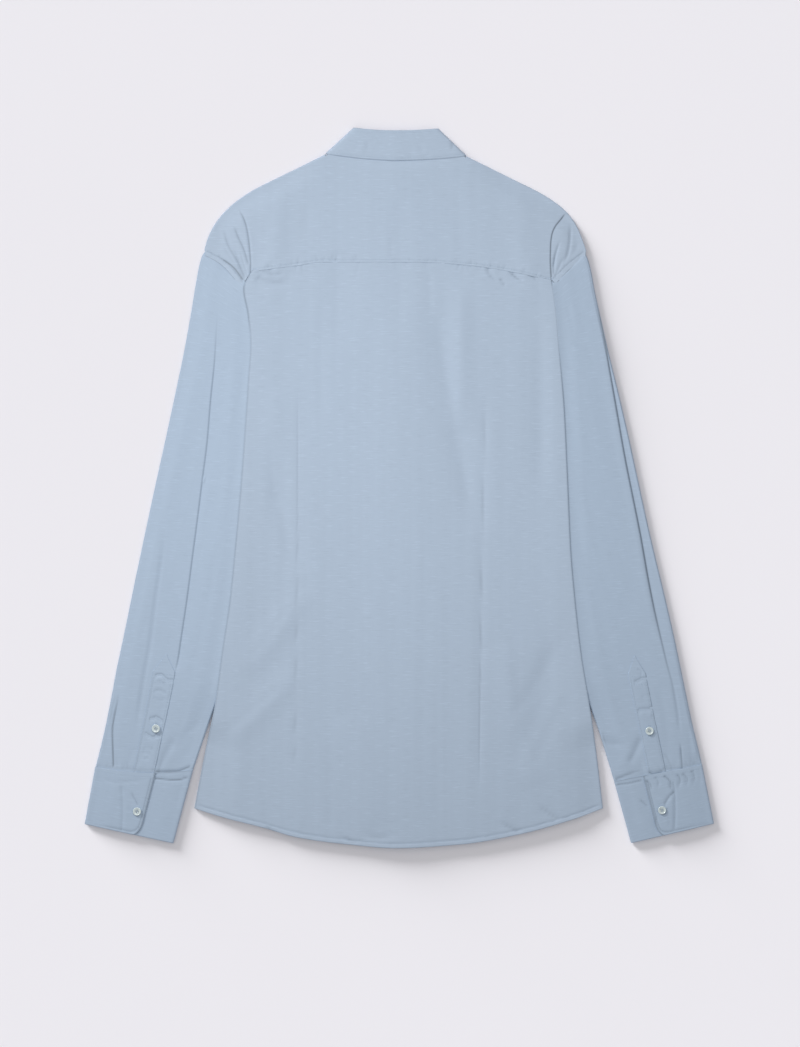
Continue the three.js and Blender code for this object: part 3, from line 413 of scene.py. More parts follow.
def plain_finish(name, colour, roughness, variation, scale, painted_hollow_shade=None, **sockets):
    """A thread or shell colour that wanders a little, and darkens where the piece has a shade."""
    finish = Finish(name)
    place = Value(finish, finish.tree.nodes.new("ShaderNodeTexCoord").outputs["Object"])
    wander = finish.noise(place, scale)
    low = (*[c * (1 - variation) for c in colour], 1)
    high = (*[min(1, c * (1 + variation)) for c in colour], 1)
    rough = finish.span(wander, 0.3, 0.7, roughness * 0.85, roughness * 1.15)
    colour = mix_colours(finish, wander, low, high)
    # Painted shade: where the piece has a shade attribute, the colour mixes towards this dark colour.
    if painted_hollow_shade:
        shade = finish.node("ShaderNodeAttribute", {"attribute_name": "shade"}, output=2)
        colour = mix_colours(finish, shade, colour, (*painted_hollow_shade, 1))
    return finish.set(Base_Color=colour, Roughness=rough, **sockets)


# The two tints are painted sheen, one for the body and one for the sleeves, straps and cuffs.
BODY_FINISH = shirting("shirting_body", (1.015, 1.005, 1.01))
SLEEVE_FINISH = shirting("shirting_sleeve", (0.985, 0.995, 1.015))
THREAD_FINISH = plain_finish("blue_thread", (0.40, 0.50, 0.63), 0.5, 0.10, 800.0, Sheen_Weight=0.2)
# The dark colour is the painted shade of the button's dished middle.
BUTTON_FINISH = plain_finish("pearly_button", (0.68, 0.77, 0.81), 0.2, 0.3, 420.0,
                             (0.10, 0.13, 0.15), Coat_Weight=0.8, Coat_Roughness=0.1)
print("finishes:", [m.name for m in (BODY_FINISH, SLEEVE_FINISH, THREAD_FINISH, BUTTON_FINISH)])

# %% [markdown]
# ## Laying cloth
# Each cut piece starts as Blender's flat grid. Its points are then moved where a shape
# function says, as a hand would lay the piece down, and the grid's rows and columns give
# the UV map in real cloth sizes. Solidify turns the sheet into a thin wall with rims.
# A grid with moved points was chosen over a remeshed solid, because the columns can then
# be close together just where a crease or a fold needs them.

# %% Laying cloth
WALL = 0.8
STIFF_WALL = 1.3
DARKEST = 0.6
MERGE_REACH = 0.01
pieces = {}


def finish_piece(obj, node=None):
    bpy.context.scene.collection.objects.link(obj)
    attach(obj, "root")
    if node:
        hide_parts(node)
    pieces[obj.name] = obj
    return obj


def lay_cloth(name, node, columns, rows, place, finish=BODY_FINISH, wall=WALL, join=False,
              keep=None):
    """A piece of cloth on a grid. Place takes arrays of column and row numbers and gives
    x, y and z and the place across and along the cut in millimetres, and the shade."""
    sheet = bmesh.new()
    grain = sheet.loops.layers.uv.new("grain")
    bmesh.ops.create_grid(sheet, x_segments=columns - 1, y_segments=rows - 1, size=1)
    flat = np.array([point.co[:2] for point in sheet.verts])
    column = np.rint((flat[:, 0] + 1) / 2 * (columns - 1)).astype(int)
    row = np.rint((flat[:, 1] + 1) / 2 * (rows - 1)).astype(int)
    x, y, z, across, along, shade = place(column, row)
    # This layer holds the painted shade that darkens the cloth's colour.
    pinch = sheet.verts.layers.float.new("shade")
    for point, dark, *at in zip(sheet.verts, shade, x, y, z):
        point.co = Vector(at) * MM
        point[pinch] = min(dark, DARKEST)
    sheet.verts.ensure_lookup_table()
    for face in sheet.faces:
        for loop in face.loops:
            k = loop.vert.index
            loop[grain].uv = (across[k] * MM, along[k] * MM)
    if keep:
        spare = []
        for face in sheet.faces:
            corners = [loop.vert.index for loop in face.loops]
            if not keep(min(column[c] for c in corners), min(row[c] for c in corners)):
                spare.append(face)
        bmesh.ops.delete(sheet, geom=spare, context="FACES")
    if join:
        bmesh.ops.remove_doubles(sheet, verts=sheet.verts, dist=MERGE_REACH * MM)
    bmesh.ops.recalc_face_normals(sheet, faces=sheet.faces)
    for face in sheet.faces:
        face.smooth = True
    mesh = bpy.data.meshes.new(name)
    sheet.to_mesh(mesh)
    sheet.free()
    obj = bpy.data.objects.new(name, mesh)
    obj.data.materials.append(finish)
    thick = obj.modifiers.new("wall", "SOLIDIFY")
    thick.thickness = wall * MM
    thick.offset = 0
    finish_piece(obj, node)
    area = sum(face.area for face in mesh.polygons)
    print(f"{name}: {len(mesh.polygons)} faces, {area:.4f} m2 of cloth, top at {max(z):.1f} mm")
    return obj


# %% [markdown]
# ## The body's pattern
# The outline of the back is the hem, the two sides and the yoke seam. The sides are not
# seams: the cloth turns round them and its side seam lies underneath. The heights below
# are those of the middle of the cloth over the table, with the fronts and the sleeves
# lying under the back.

# %% Body tables
FLOOR_LAYER = 0.6
FLOOR_STIFF = 0.8
OVER_SLEEVE = 4.3
SIDE_ROUND = 2.6
SLEEVE_ROUND = 2.2
BACK_REST = 5.6
BACK_CREST = 1.5
CREST_WIDTH = 40
SIDE_BLEND = 42
TIP_HEIGHT = 2.9
SEAM_TUCK = 22
SEAM_LIFT = 1.7
SEAM_RISES = 118
SEAM_RAMP = 20
SLEEVE_LEAVES = -252
SLEEVE_RAMP = 33
SEAM_DIP = 0.5
CREASE_GAIN = 1.7
SIDE_RIM_SHADE = 0.2

LEFT_SIDE = [
    (-225.3, -353), (-212.4, -286), (-202.7, -240), (-194.6, -180), (-186.2, -124),
    (-180.7, -70), (-173.5, 10), (-168.1, 86), (-166, 120), (-163.6, 157), (-166, 190),
    (-170.8, 218), (-162, 239)]
RIGHT_SIDE = [
    (223.9, -353), (215.9, -286), (209.1, -240), (199.4, -180), (193, -124), (188.4, -70),
    (184.8, 10), (181.2, 86), (178.6, 120), (175.5, 157), (173, 190), (169.2, 218),
    (167, 228.5)]
HEM_LINE = [
    (-225.3, -353), (-200, -361), (-148.6, -374.3), (-111.6, -384.8), (-56, -392.4),
    (-3.9, -396.4), (67.5, -392.4), (129.2, -382), (190.9, -365), (223.9, -353)]
YOKE_SEAM = [
    (-162, 239), (-140.7, 241.7), (-109.2, 245.9), (-87.2, 249), (-22.3, 249),
    (31.2, 248.6), (84.4, 244.6), (131.7, 236.8), (167, 228.5)]
ARMHOLE_LEFT = [(-215.2, 257.3), (-196.4, 246.3), (-173, 220.2)]
ARMHOLE_RIGHT = [(206.3, 256.3), (188.4, 242), (171, 224)]

left_side = line_through(LEFT_SIDE)
right_side = line_through(RIGHT_SIDE)
back_patch = patch_between(line_through(HEM_LINE), line_through(YOKE_SEAM), left_side, right_side)
print("back:", round(float(left_side(1)[1] - HEM_LINE[5][1])), "mm from the hem to the yoke")

# %% [markdown]
# The back has two long darts. Each is a pressed line where the cloth is pinched from
# inside, so the surface dips a little on both sides of it and the pressed edge dips to a
# fine line, which a painted shade darkens. The broad soft folds are listed by their two ends.

# %% Darts and broad folds
DART_TOP = 114
DART_END = -338
DART_HEIGHTS = [DART_END, -124, DART_TOP, 250]
DART_LEFT = smooth_reader(DART_HEIGHTS, [-116.5, -113, -111.4, -111])
DART_RIGHT = smooth_reader(DART_HEIGHTS, [87.8, 89.6, 94.6, 97])
DART_DEPTHS = ((DART_LEFT, 0.75), (DART_RIGHT, 1.0))
DART_SHADES = ((DART_LEFT, 0.11), (DART_RIGHT, 0.15))
HOLLOW_WIDTH, HOLLOW_SHARE = 6, 0.55
PINCH_WIDTH, PINCH_SHARE = 1.1, 0.45


class BroadFold(NamedTuple):
    start: tuple
    end: tuple
    width: float
    rise: float


BROAD_FOLDS = [
    BroadFold((38, 206), (84, -51), 17, -1.1), BroadFold((68, 228), (68, 59), 15, 0.9),
    BroadFold((-146, 60), (-112, -96), 14, -0.9), BroadFold((-138, 110), (-140, -10), 12, 0.7),
    BroadFold((-100, -110), (-172, -204), 14, 0.9), BroadFold((-110, -200), (-190, -282), 14, 0.9),
    BroadFold((156, 222), (160, -10), 13, -1), BroadFold((185, -150), (128, -310), 17, -0.9),
    BroadFold((110, -170), (150, -330), 16, 0.8), BroadFold((-60, -250), (-20, -372), 18, 0.7),
    BroadFold((-64, 262), (-70, 150), 15, -0.6), BroadFold((2, 330), (-4, 170), 15, -0.5),
    BroadFold((128, 330), (150, 200), 14, 0.7), BroadFold((-132, 322), (-146, 200), 13, 0.7)]
FOLD_SHARE = 1.75


def broad_rise(x, y):
    rise = 0
    for fold in BROAD_FOLDS:
        along_x, along_y = fold.end[0] - fold.start[0], fold.end[1] - fold.start[1]
        length = math.hypot(along_x, along_y)
        share = ((x - fold.start[0]) * along_x + (y - fold.start[1]) * along_y) / length**2
        away = ((x - fold.start[0]) * along_y - (y - fold.start[1]) * along_x) / length
        taper = np.maximum(0, 1 - (2 * share - 1) ** 4)
        rise = rise + fold.rise * FOLD_SHARE * taper * np.exp(-((away / fold.width) ** 2))
    return rise


def back_height(x, y):
    return BACK_REST + BACK_CREST * np.exp(-((x / CREST_WIDTH) ** 2)) + broad_rise(x, y)


def dart_height(x, y):
    taper = (smooth_step(DART_END - 4, DART_END + 60, y)
             * (1 - smooth_step(DART_TOP - 50, DART_TOP + 4, y)))
    height = 0
    for dart, deep in DART_DEPTHS:
        away = x - dart(y)
        painted_hollow_shade = np.exp(-((away / HOLLOW_WIDTH) ** 2))
        pinch = np.exp(-((away / PINCH_WIDTH) ** 2))
        height = height - taper * deep * (HOLLOW_SHARE * painted_hollow_shade + PINCH_SHARE * pinch)
    return height


# %% [markdown]
# ## The back
# One row of the back runs from the left side seam under the fold, round the fold, over
# the shirt and round the right fold to the other side seam. Columns are closest at the
# side folds and the darts, and rows at the hem and under the yoke.

# %% Back creases
BACK_CREASES = [
    Crease([(38.2, 206.5), (52.5, 118.5), (67.9, 22.8), (85.5, -50.9)],
           depth=0.32, width=7, lip=-0.1),
    Crease([(67.9, 232), (69, 59)], depth=-0.22, width=6),
    Crease([(-145.5, 44.8), (-130.1, -19), (-115.8, -88.3)], depth=0.3, width=6, lip=0.1),
    Crease([(-137.8, 96), (-139, -60)], depth=0.2, width=6),
    Crease([(-116, -124.6), (-140, -160), (-167.5, -198)], depth=0.28, width=6, lip=0.1),
    Crease([(-123.5, -212.6), (-160, -245), (-197, -278.6)], depth=0.26, width=6, lip=0.1),
    Crease([(-82.8, 236), (-86, 150), (-84, 60)], depth=0.18, width=5),
    Crease([(-49.8, 240), (-48, 168)], depth=0.14, width=5),
    Crease([(0.8, 240), (-2, 150), (2, 70)], depth=0.14, width=6),
    Crease([(33.8, 240), (35, 190)], depth=0.22, width=4, lip=0.08),
    Crease([(156.5, 215), (157.5, 110), (155, 0)], depth=0.3, width=7),
    Crease([(95.4, 242.8), (100.9, 231.8), (110.8, 225.2)],
           depth=0.5, width=2.2, lip=-0.2, ends=(0.02, 0.5), shade=0.12),
    Crease([(110.8, 230.1), (113, 226), (116.3, 220.7)],
           depth=0.4, width=1.8, lip=-0.2, ends=(0.1, 0.4), shade=0.2),
    Crease([(120.3, 239), (127, 232), (136, 226)],
           depth=0.5, width=1.8, lip=-0.2, ends=(0.02, 0.4), shade=0.26),
    Crease([(132.8, 236.6), (139, 235.6), (144.6, 232.8)],
           depth=0.4, width=1.6, lip=-0.2, ends=(0.1, 0.3), shade=0.3),
    Crease([(142.3, 234.2), (146, 232), (150.5, 227.8)],
           depth=0.4, width=1.7, lip=-0.2, ends=(0.1, 0.4), shade=0.24),
    Crease([(147.8, 234), (155, 233), (163, 229.3)],
           depth=0.5, width=1.7, lip=-0.2, ends=(0.1, 0.3), shade=0.36),
    Crease([(-157, 232), (-140, 226), (-118, 228)],
           depth=0.4, width=7, ends=(0.05, 0.3), shade=0.07),
    Crease([(-152, 238), (-136, 234), (-126, 238)],
           depth=0.35, width=2.4, ends=(0.1, 0.3), shade=0.1),
    Crease([(140, 234), (150, 224), (158, 205)], depth=0.25, width=4, ends=(0.05, 0.8)),
    Crease([(-158, 240), (-140, 226), (-118, 222)], depth=0.35, width=5, ends=(0.1, 0.6)),
    Crease([(-158, 232), (-150, 214), (-147, 196)], depth=0.28, width=4, ends=(0.1, 0.7)),
    Crease([(-126, 240), (-110, 233), (-100, 236)], depth=0.22, width=3, ends=(0.2, 0.6)),
    Crease([(176, -168), (150, -220), (116, -262)], depth=0.3, width=8, lip=0.1),
    Crease([(186, -226), (162, -270), (140, -320)], depth=0.28, width=8, lip=-0.1),
    Crease([(112.6, -120), (128, -190), (132, -260)], depth=0.2, width=7),
    Crease([(-20, -240), (-14, -320), (-16, -372)], depth=0.16, width=9),
    Crease([(-77, -280), (-72, -340), (-78, -380)], depth=0.18, width=8),
    Crease([(35, -300), (40, -345), (30, -384)], depth=0.16, width=9),
]
HEM_STITCH = 5.0
hem_seam = shifted(HEM_LINE, HEM_STITCH)
HEM_CREASES = [
    Crease(hem_seam, depth=0.3, width=1.1, ends=(0.01, 0.01)),
    Crease([(-146.9, -371.2), (-142, -376), (-132, -379)],
           depth=0.5, width=2, lip=0.15, shade=0.12),
    Crease([(-60, -383), (-54, -388), (-50, -391)], depth=0.5, width=2, lip=0.15, shade=0.12),
    Crease([(-40, -380), (-28, -384.5), (-8, -384)], depth=0.4, width=4, shade=0.05),
    Crease([(108, -364), (122, -374), (134, -379.6)],
           depth=0.6, width=2.6, lip=0.15, ends=(0.5, 0.1), shade=0.14),
    Crease([(150, -346), (166, -359), (176, -364.5)],
           depth=0.6, width=2.8, lip=0.15, ends=(0.5, 0.1), shade=0.12),
    Crease([(186.7, -365.5), (204.3, -361.1), (224.1, -353.4)], depth=-0.3, width=1.4),
]
HEM_CREASES += puckers(hem_seam, 70, 6, 0.22, 1.6, seed=11)
YOKE_PUCKERS = (puckers(YOKE_SEAM, 16, 30, 0.16, 2.6, seed=5, sides=(-1,), part=(0.02, 0.98))
                + puckers(YOKE_SEAM, 12, 14, 0.3, 1.6, seed=6, sides=(-1,), part=(0.55, 0.93))
                + puckers(YOKE_SEAM, 9, 16, 0.3, 1.8, seed=7, sides=(-1,), part=(0.02, 0.2)))

# %% The back
# The dart lines carry painted shade alone, with no depth of their own.
DART_SHADE_LINES = [Crease([(float(dart(y)), y) for y in (DART_TOP, 0, -120, -230, DART_END)],
                     width=1.2, shade=dark, ends=(0.2, 0.15))
              for dart, dark in DART_SHADES]
UNDER_INSETS = (22, 19, 16.5, 13.5, 11, 7.5, 4)
CURL_ANGLES = np.radians(np.arange(-75, 76, 25))


def side_curl(radius):
    """Columns from a side seam round the fold: the inset, then the shares of the heights of
    the seam, of the lower layer and of the upper one."""
    curl = []
    for inset in UNDER_INSETS:
        rise = 1 - float(smooth_step(11, SEAM_TUCK, inset))
        curl.append((inset, 1 - rise, rise, 0))
    for angle in CURL_ANGLES:
        curl.append((radius * (1 - math.cos(angle)), 0, (1 - math.sin(angle)) / 2,
                     (1 + math.sin(angle)) / 2))
    return np.array(curl)


BACK_COLUMNS = 176
BACK_ROWS = 236
back_curl = side_curl(SIDE_ROUND / 2)
CURL = len(back_curl)
TOP_INSET = 2.0
BACK_LENGTH = 600
back_across = spaced(BACK_COLUMNS - 2 * CURL, (0, 0.161, 0.7, 1), 0.014, 3.0)
back_up = spaced(BACK_ROWS, (0, 0.99), 0.016, 2.4)


def place_back(column, row):
    v = back_up[row]
    width = right_side(v)[0] - left_side(v)[0]
    seen = BACK_COLUMNS - 2 * CURL
    is_left, is_right = column < CURL, column >= CURL + seen
    curl = back_curl[np.where(is_left, column, np.where(is_right, BACK_COLUMNS - 1 - column, 0))]
    seen_share = back_across[np.clip(column - CURL, 0, seen - 1)]
    across = mix(TOP_INSET / width, 1 - TOP_INSET / width, seen_share)
    inset = curl[:, 0] / width
    share = np.where(is_left, inset, np.where(is_right, 1 - inset, across))
    x, y = back_patch(share, v)
    side_y = left_side(v)[1]
    low = mix(FLOOR_LAYER, OVER_SLEEVE, smooth_step(SLEEVE_LEAVES - SLEEVE_RAMP, SLEEVE_LEAVES, side_y))
    high = low + SIDE_ROUND
    seam = FLOOR_LAYER + SEAM_LIFT * smooth_step(SEAM_RISES, SEAM_RISES + SEAM_RAMP, side_y)
    from_side = np.minimum(share, 1 - share) * width
    middle = back_height(x, y) + dart_height(x, y)
    fine, shade = crease_field(BACK_CREASES + HEM_CREASES + YOKE_PUCKERS + DART_SHADE_LINES, x, y)
    fine = CREASE_GAIN * fine * smooth_step(0, 8, from_side)
    top = mix(high, middle, smooth_step(2, SIDE_BLEND, from_side)) + fine
    rim_shade = np.where(is_left, SIDE_RIM_SHADE * curl[:, 3], 0)
    round_side = seam * curl[:, 1] + low * curl[:, 2] + high * curl[:, 3]
    z = np.where(is_left | is_right, round_side, top)
    z = z - SEAM_DIP * (1 - smooth_step(0.1, 0.9, (1 - v) * BACK_LENGTH))
    return x, y, z, x, y, np.where(is_left | is_right, rim_shade, shade)


back = lay_cloth("back_panel_cloth", "back_panel", BACK_COLUMNS, BACK_ROWS, place_back)

# %% [markdown]
# ## The yoke
# The yoke is one piece across both shoulders. It is sewn over the top of the back, turns
# over the shoulders and is sewn to the fronts underneath. Its columns run from the yoke
# seam or the armhole up to the shoulder edge, so they fan out as the real grain bends.
# Past each shoulder fold the cloth drops beside the body onto the sleeve's head.

# %% Yoke tables
SEAM_LAP = 1.3
SEAM_LAP_RISE = 0.08
NECK_DIP = 1.2
NECK_EDGE = 5.5
YOKE_WRAP = 24
SHOULDER_LEFT = [
    (-214.6, 260.5), (-210.2, 275.4), (-199.7, 294.5), (-182.9, 312.1), (-162, 326.6),
    (-138.7, 338.5), (-109.2, 352.8), (-80.6, 367)]
NECK_SEAM = [(-80.6, 367), (-42, 362.4), (-3.9, 360.3), (35, 361.6), (73.4, 364.6)]
SHOULDER_RIGHT = [
    (73.4, 364.6), (100, 351.6), (126.6, 338.5), (161.3, 320.6), (182.3, 304.9),
    (195, 287.9), (203.4, 267), (205.8, 259.5)]
NECK_FOOT_LEFT = 0.25
NECK_FOOT_RIGHT = 0.73
TIP_SHARE = 0.33
TIP_TRIM = 0.9
TIP_SPAN = (0.03, 0.985)
NECK_BLEND = 45
FOLD_CLEARANCE = 1.5
TIP_REACH = 44
FOLD_HEIGHTS = [219, 243, 268, 294, 312]
FOLD_LEFT = smooth_reader(FOLD_HEIGHTS, [-171, -163.5, -165, -170.2, -180])
FOLD_RIGHT = smooth_reader(FOLD_HEIGHTS, [169, 167, 167.5, 173, 182])

YOKE_STITCH = 1.6
stitch_left = [(-211.3, 260.3), (-192.6, 249.6), (-169, 224.4)]
stitch_right = [(203, 260), (184.6, 245.4), (168, 228.6)]
YOKE_CREASES = [
    Crease(shifted(YOKE_SEAM, YOKE_STITCH), depth=0.1, width=0.9, ends=(0.001, 0.001), shade=0.05),
    Crease(stitch_left, depth=0.35, width=1.1, ends=(0.001, 0.001), shade=0.14),
    Crease([(-202, 256.5), (-183, 243), (-169, 224.4)],
           depth=0.6, width=1.7, ends=(0.4, 0.001), shade=0.5),
    Crease(stitch_right, depth=0.25, width=1.0, ends=(0.001, 0.001), shade=0.16),
    Crease([(-178, 308), (-172.5, 299), (-168.6, 289), (-166, 275.6), (-164.2, 259.3),
            (-163.4, 243.1), (-164.4, 229)],
           depth=0.9, width=1.4, ends=(0.2, 0.02), shade=0.4),
    Crease([(-169, 296), (-162, 270), (-160, 246)], depth=-0.3, width=3),
    Crease([(-182.5, 289), (-177.1, 275.6), (-170.6, 261), (-165.7, 244)],
           depth=0.9, width=2.0, lip=-0.25, ends=(0.25, 0.1), shade=0.24),
    Crease([(-195, 289), (-188.5, 267.5), (-176.5, 246.3), (-168.5, 229)],
           depth=0.9, width=2.4, lip=-0.25, ends=(0.35, 0.1), shade=0.16),
    Crease([(-183, 266), (-177, 248), (-169.5, 228)],
           depth=0.8, width=1.8, ends=(0.5, 0.05), shade=0.12),
    Crease([(-176, 262), (-171.5, 246), (-167, 230)],
           depth=0.6, width=1.5, ends=(0.5, 0.05), shade=0.1),
    Crease([(-198, 274), (-188, 256), (-173, 234)],
           depth=0.5, width=3, ends=(0.4, 0.1), shade=0.05),
    Crease([(-202, 292), (-197, 276), (-196, 262)], depth=0.3, width=3.4),
    Crease([(184.5, 304), (177.5, 295), (171, 286.5), (168, 279), (166.5, 268), (166.1, 250),
            (167.3, 227)],
           step=0.9, width=1.0, recover=9, ends=(0.12, 0.02), shade=0.5),
    Crease([(188.8, 293), (188.2, 275), (185.5, 257), (178, 244)],
           depth=0.9, width=2.0, lip=0.25, ends=(0.3, 0.3), shade=0.2),
    Crease([(177.5, 274), (173, 260), (169, 241)],
           depth=0.7, width=1.6, ends=(0.4, 0.1), shade=0.18),
    Crease([(172, 262), (170.5, 246), (170, 234)],
           depth=0.6, width=1.4, ends=(0.4, 0.1), shade=0.1),
    Crease([(182, 258), (176, 243), (171, 232)],
           depth=0.5, width=1.8, ends=(0.5, 0.1), shade=0.08),
    Crease([(197, 272), (194, 262), (186, 252)], depth=0.25, width=2.5),
    Crease([(-8.5, 282), (-9.1, 252.7)], depth=0.3, width=1.8, ends=(0.5, 0.05), shade=0.03),
    Crease([(-108, 262), (-104, 290), (-100, 320)], depth=0.25, width=7),
    Crease([(-150, 300), (-146, 270), (-150, 245)], depth=0.35, width=6),
    Crease([(60, 330), (66, 290), (72, 252)], depth=0.25, width=8),
    Crease([(128, 320), (136, 280), (146, 242)], depth=0.35, width=8),
    Crease([(104, 238), (112, 233.5), (122, 231.5)],
           depth=0.3, width=1.5, ends=(0.1, 0.3), shade=0.08),
]
YOKE_CREASES += puckers(YOKE_SEAM, 30, 13, 0.4, 1.4, seed=21, sides=(1,), part=(0.52, 0.97))
YOKE_CREASES += puckers(YOKE_SEAM, 16, 15, 0.5, 1.7, seed=22, sides=(1,), part=(0.02, 0.36))
YOKE_CREASES += puckers(stitch_left, 12, 6, 0.5, 1.1, seed=23)
YOKE_CREASES += puckers(stitch_right, 8, 6, 0.3, 1.1, seed=24)

LAP_SHADE = smooth_reader([-215, -185, -170, -164, -110, -85, 110, 160, 169, 206],
                          [0.25, 0.45, 0.5, 0.06, 0.0, 0.03, 0.04, 0.2, 0.6, 0.5])
LAP_SHADE_REACH = 1.5
armhole_left = line_through(ARMHOLE_LEFT)
armhole_right = line_through(ARMHOLE_RIGHT)
shoulder_left = line_through(SHOULDER_LEFT)
shoulder_right = line_through(SHOULDER_RIGHT)
neck_seam = line_through(NECK_SEAM)
yoke_seam = line_through(YOKE_SEAM)

# %% The yoke
TIP_COLUMNS = 46
GAP_COLUMNS = 12
SHOULDER_COLUMNS = 84
NECK_COLUMNS = 80
YOKE_UP_ROWS = 92
CURL_ROWS = len(CURL_ANGLES)
WRAP_INSETS = (4, 10, 17, YOKE_WRAP)


def yoke_lines():
    """The foot and top of each column, and whether it turns over the shoulder."""
    tips = np.linspace(*TIP_SPAN, TIP_COLUMNS)
    shares = np.concatenate([
        spaced(SHOULDER_COLUMNS, (0,), 0.12, 2.5) * NECK_FOOT_LEFT,
        np.linspace(NECK_FOOT_LEFT, NECK_FOOT_RIGHT, NECK_COLUMNS)[1:-1],
        mix(NECK_FOOT_RIGHT, 1, spaced(SHOULDER_COLUMNS, (1,), 0.12, 2.5))])
    top_left = shoulder_left(mix(TIP_SHARE, 1, np.clip(shares / NECK_FOOT_LEFT, 0, 1)))
    past = np.clip((shares - NECK_FOOT_RIGHT) / (1 - NECK_FOOT_RIGHT), 0, 1)
    top_right = shoulder_right(mix(0, 1 - TIP_SHARE, past))
    along_neck = (shares - NECK_FOOT_LEFT) / (NECK_FOOT_RIGHT - NECK_FOOT_LEFT)
    top_neck = neck_seam(np.clip(along_neck, 0, 1))
    foot_x, foot_y = yoke_seam(shares)
    foot_x = foot_x - FOLD_CLEARANCE * (1 - smooth_step(0, 0.015, shares))
    foot_x = foot_x + FOLD_CLEARANCE * smooth_step(0.985, 1, shares)
    over_left, over_right = shares < NECK_FOOT_LEFT, shares > NECK_FOOT_RIGHT
    tops = [np.where(over_left, top_left[k], np.where(over_right, top_right[k], top_neck[k]))
            for k in (0, 1)]
    feet = [foot_x, foot_y]
    tip_left = armhole_left(tips), shoulder_left(tips * TIP_SHARE * TIP_TRIM)
    tip_right = armhole_right(tips[::-1]), shoulder_right(1 - tips[::-1] * TIP_SHARE * TIP_TRIM)
    gap = np.linspace(0, 1, GAP_COLUMNS + 2)[1:-1]
    gap_tops = mix(TIP_SPAN[1] * TIP_TRIM, 1, gap) * TIP_SHARE
    gap_left, gap_right = shoulder_left(gap_tops), shoulder_right(1 - gap_tops[::-1])
    foot, top = [], []
    for k in (0, 1):
        from_left = mix(tip_left[0][k][-1], feet[k][0], gap)
        to_right = mix(feet[k][-1], tip_right[0][k][0], gap)
        foot.append(np.concatenate([tip_left[0][k], from_left, feet[k], to_right, tip_right[0][k]]))
        top.append(np.concatenate(
            [tip_left[1][k], gap_left[k], tops[k], gap_right[k], tip_right[1][k]]))
    beside_neck = np.ones(TIP_COLUMNS + GAP_COLUMNS, bool)
    over_shoulder = (shares <= NECK_FOOT_LEFT) | (shares >= NECK_FOOT_RIGHT)
    return foot, top, np.concatenate([beside_neck, over_shoulder, beside_neck])


def yoke_height(x, y):
    outside = np.where(x < 0, FOLD_LEFT(y) - x, x - FOLD_RIGHT(y))
    return mix(back_height(x, y), TIP_HEIGHT, smooth_step(0, TIP_REACH, outside))


yoke_foot, yoke_top, yoke_wraps = yoke_lines()
yoke_up = spaced(YOKE_UP_ROWS, (0, 1), 0.05, 1.6)


def place_yoke(column, row):
    foot_x, foot_y = yoke_foot[0][column], yoke_foot[1][column]
    top_x, top_y = yoke_top[0][column], yoke_top[1][column]
    wraps = yoke_wraps[column]
    height = np.hypot(top_x - foot_x, top_y - foot_y)
    squeeze = np.minimum(1, 0.45 * height / YOKE_WRAP)
    from_neck = np.minimum(np.abs(top_x - NECK_SEAM[0][0]), np.abs(top_x - NECK_SEAM[-1][0]))
    sunk = np.where(wraps, smooth_step(0, NECK_BLEND, from_neck), 0)
    edge = mix(BACK_REST, FLOOR_LAYER + SIDE_ROUND, sunk)
    radius = (edge - FLOOR_LAYER) / 2

    last_inset = np.where(wraps, radius * squeeze, 0)
    up = yoke_up[np.clip(row, 0, YOKE_UP_ROWS - 1)]
    share = mix(-SEAM_LAP / height, 1 - last_inset / height, up)
    x, y = mix(foot_x, top_x, share), mix(foot_y, top_y, share)
    away = height * (1 - share)
    near_edge = np.where(wraps, smooth_step(2, 26, away), 1)
    fine, shade = crease_field(YOKE_CREASES, x, y)
    fine = fine * np.where(wraps, smooth_step(1, 7, away), 1)
    shade = shade + LAP_SHADE(x) * (1 - smooth_step(0, LAP_SHADE_REACH, share * height + SEAM_LAP))
    z = mix(edge, yoke_height(x, y), near_edge) + fine
    z = z + SEAM_LAP_RISE * (1 - smooth_step(0, 6, share * height))
    at_neck = np.where(wraps, 0, 1 - smooth_step(0, 12, away))
    neck_dip = SEAM_DIP * (1 - smooth_step(0, NECK_DIP, away))
    z = mix(z, NECK_EDGE, at_neck) - np.where(wraps, 0, neck_dip)

    turned = np.clip(row - YOKE_UP_ROWS, 0, CURL_ROWS - 1)
    angle = CURL_ANGLES[::-1][turned]
    curl_inset = radius * (1 - np.cos(angle)) * squeeze
    curl_z = FLOOR_LAYER + radius + radius * np.sin(angle)
    tucked = np.clip(row - YOKE_UP_ROWS - CURL_ROWS, 0, len(WRAP_INSETS) - 1)
    under_inset = np.array(WRAP_INSETS)[tucked] * squeeze
    inset = np.where(row < YOKE_UP_ROWS + CURL_ROWS, curl_inset, under_inset)
    wrapped = row >= YOKE_UP_ROWS
    share = np.where(wrapped, 1 - inset / height, share)
    z = np.where(wrapped, np.where(row < YOKE_UP_ROWS + CURL_ROWS, curl_z, FLOOR_LAYER), z)
    x, y = mix(foot_x, top_x, share), mix(foot_y, top_y, share)
    return x, y, z, x, y, np.where(wrapped, 0, shade)


def yoke_keeps(column, row):
    return row < YOKE_UP_ROWS - 1 or (yoke_wraps[column] and yoke_wraps[column + 1])


yoke = lay_cloth("back_yoke_cloth", "back_yoke", len(yoke_wraps),
                 YOKE_UP_ROWS + CURL_ROWS + len(WRAP_INSETS), place_yoke, keep=yoke_keeps)

# %% [markdown]
# ## The sleeves
# A sleeve is a tube, pressed flat. A row of its grid is one ring: under the sleeve from
# the outer edge to the inner one, round the inner edge, back over the top, and round the
# outer edge. The ring's two ends meet underneath, where the real sleeve has its seam, and
# they are merged. Columns of the table are the outer and inner edge of each section and
# how far its middle stands up.

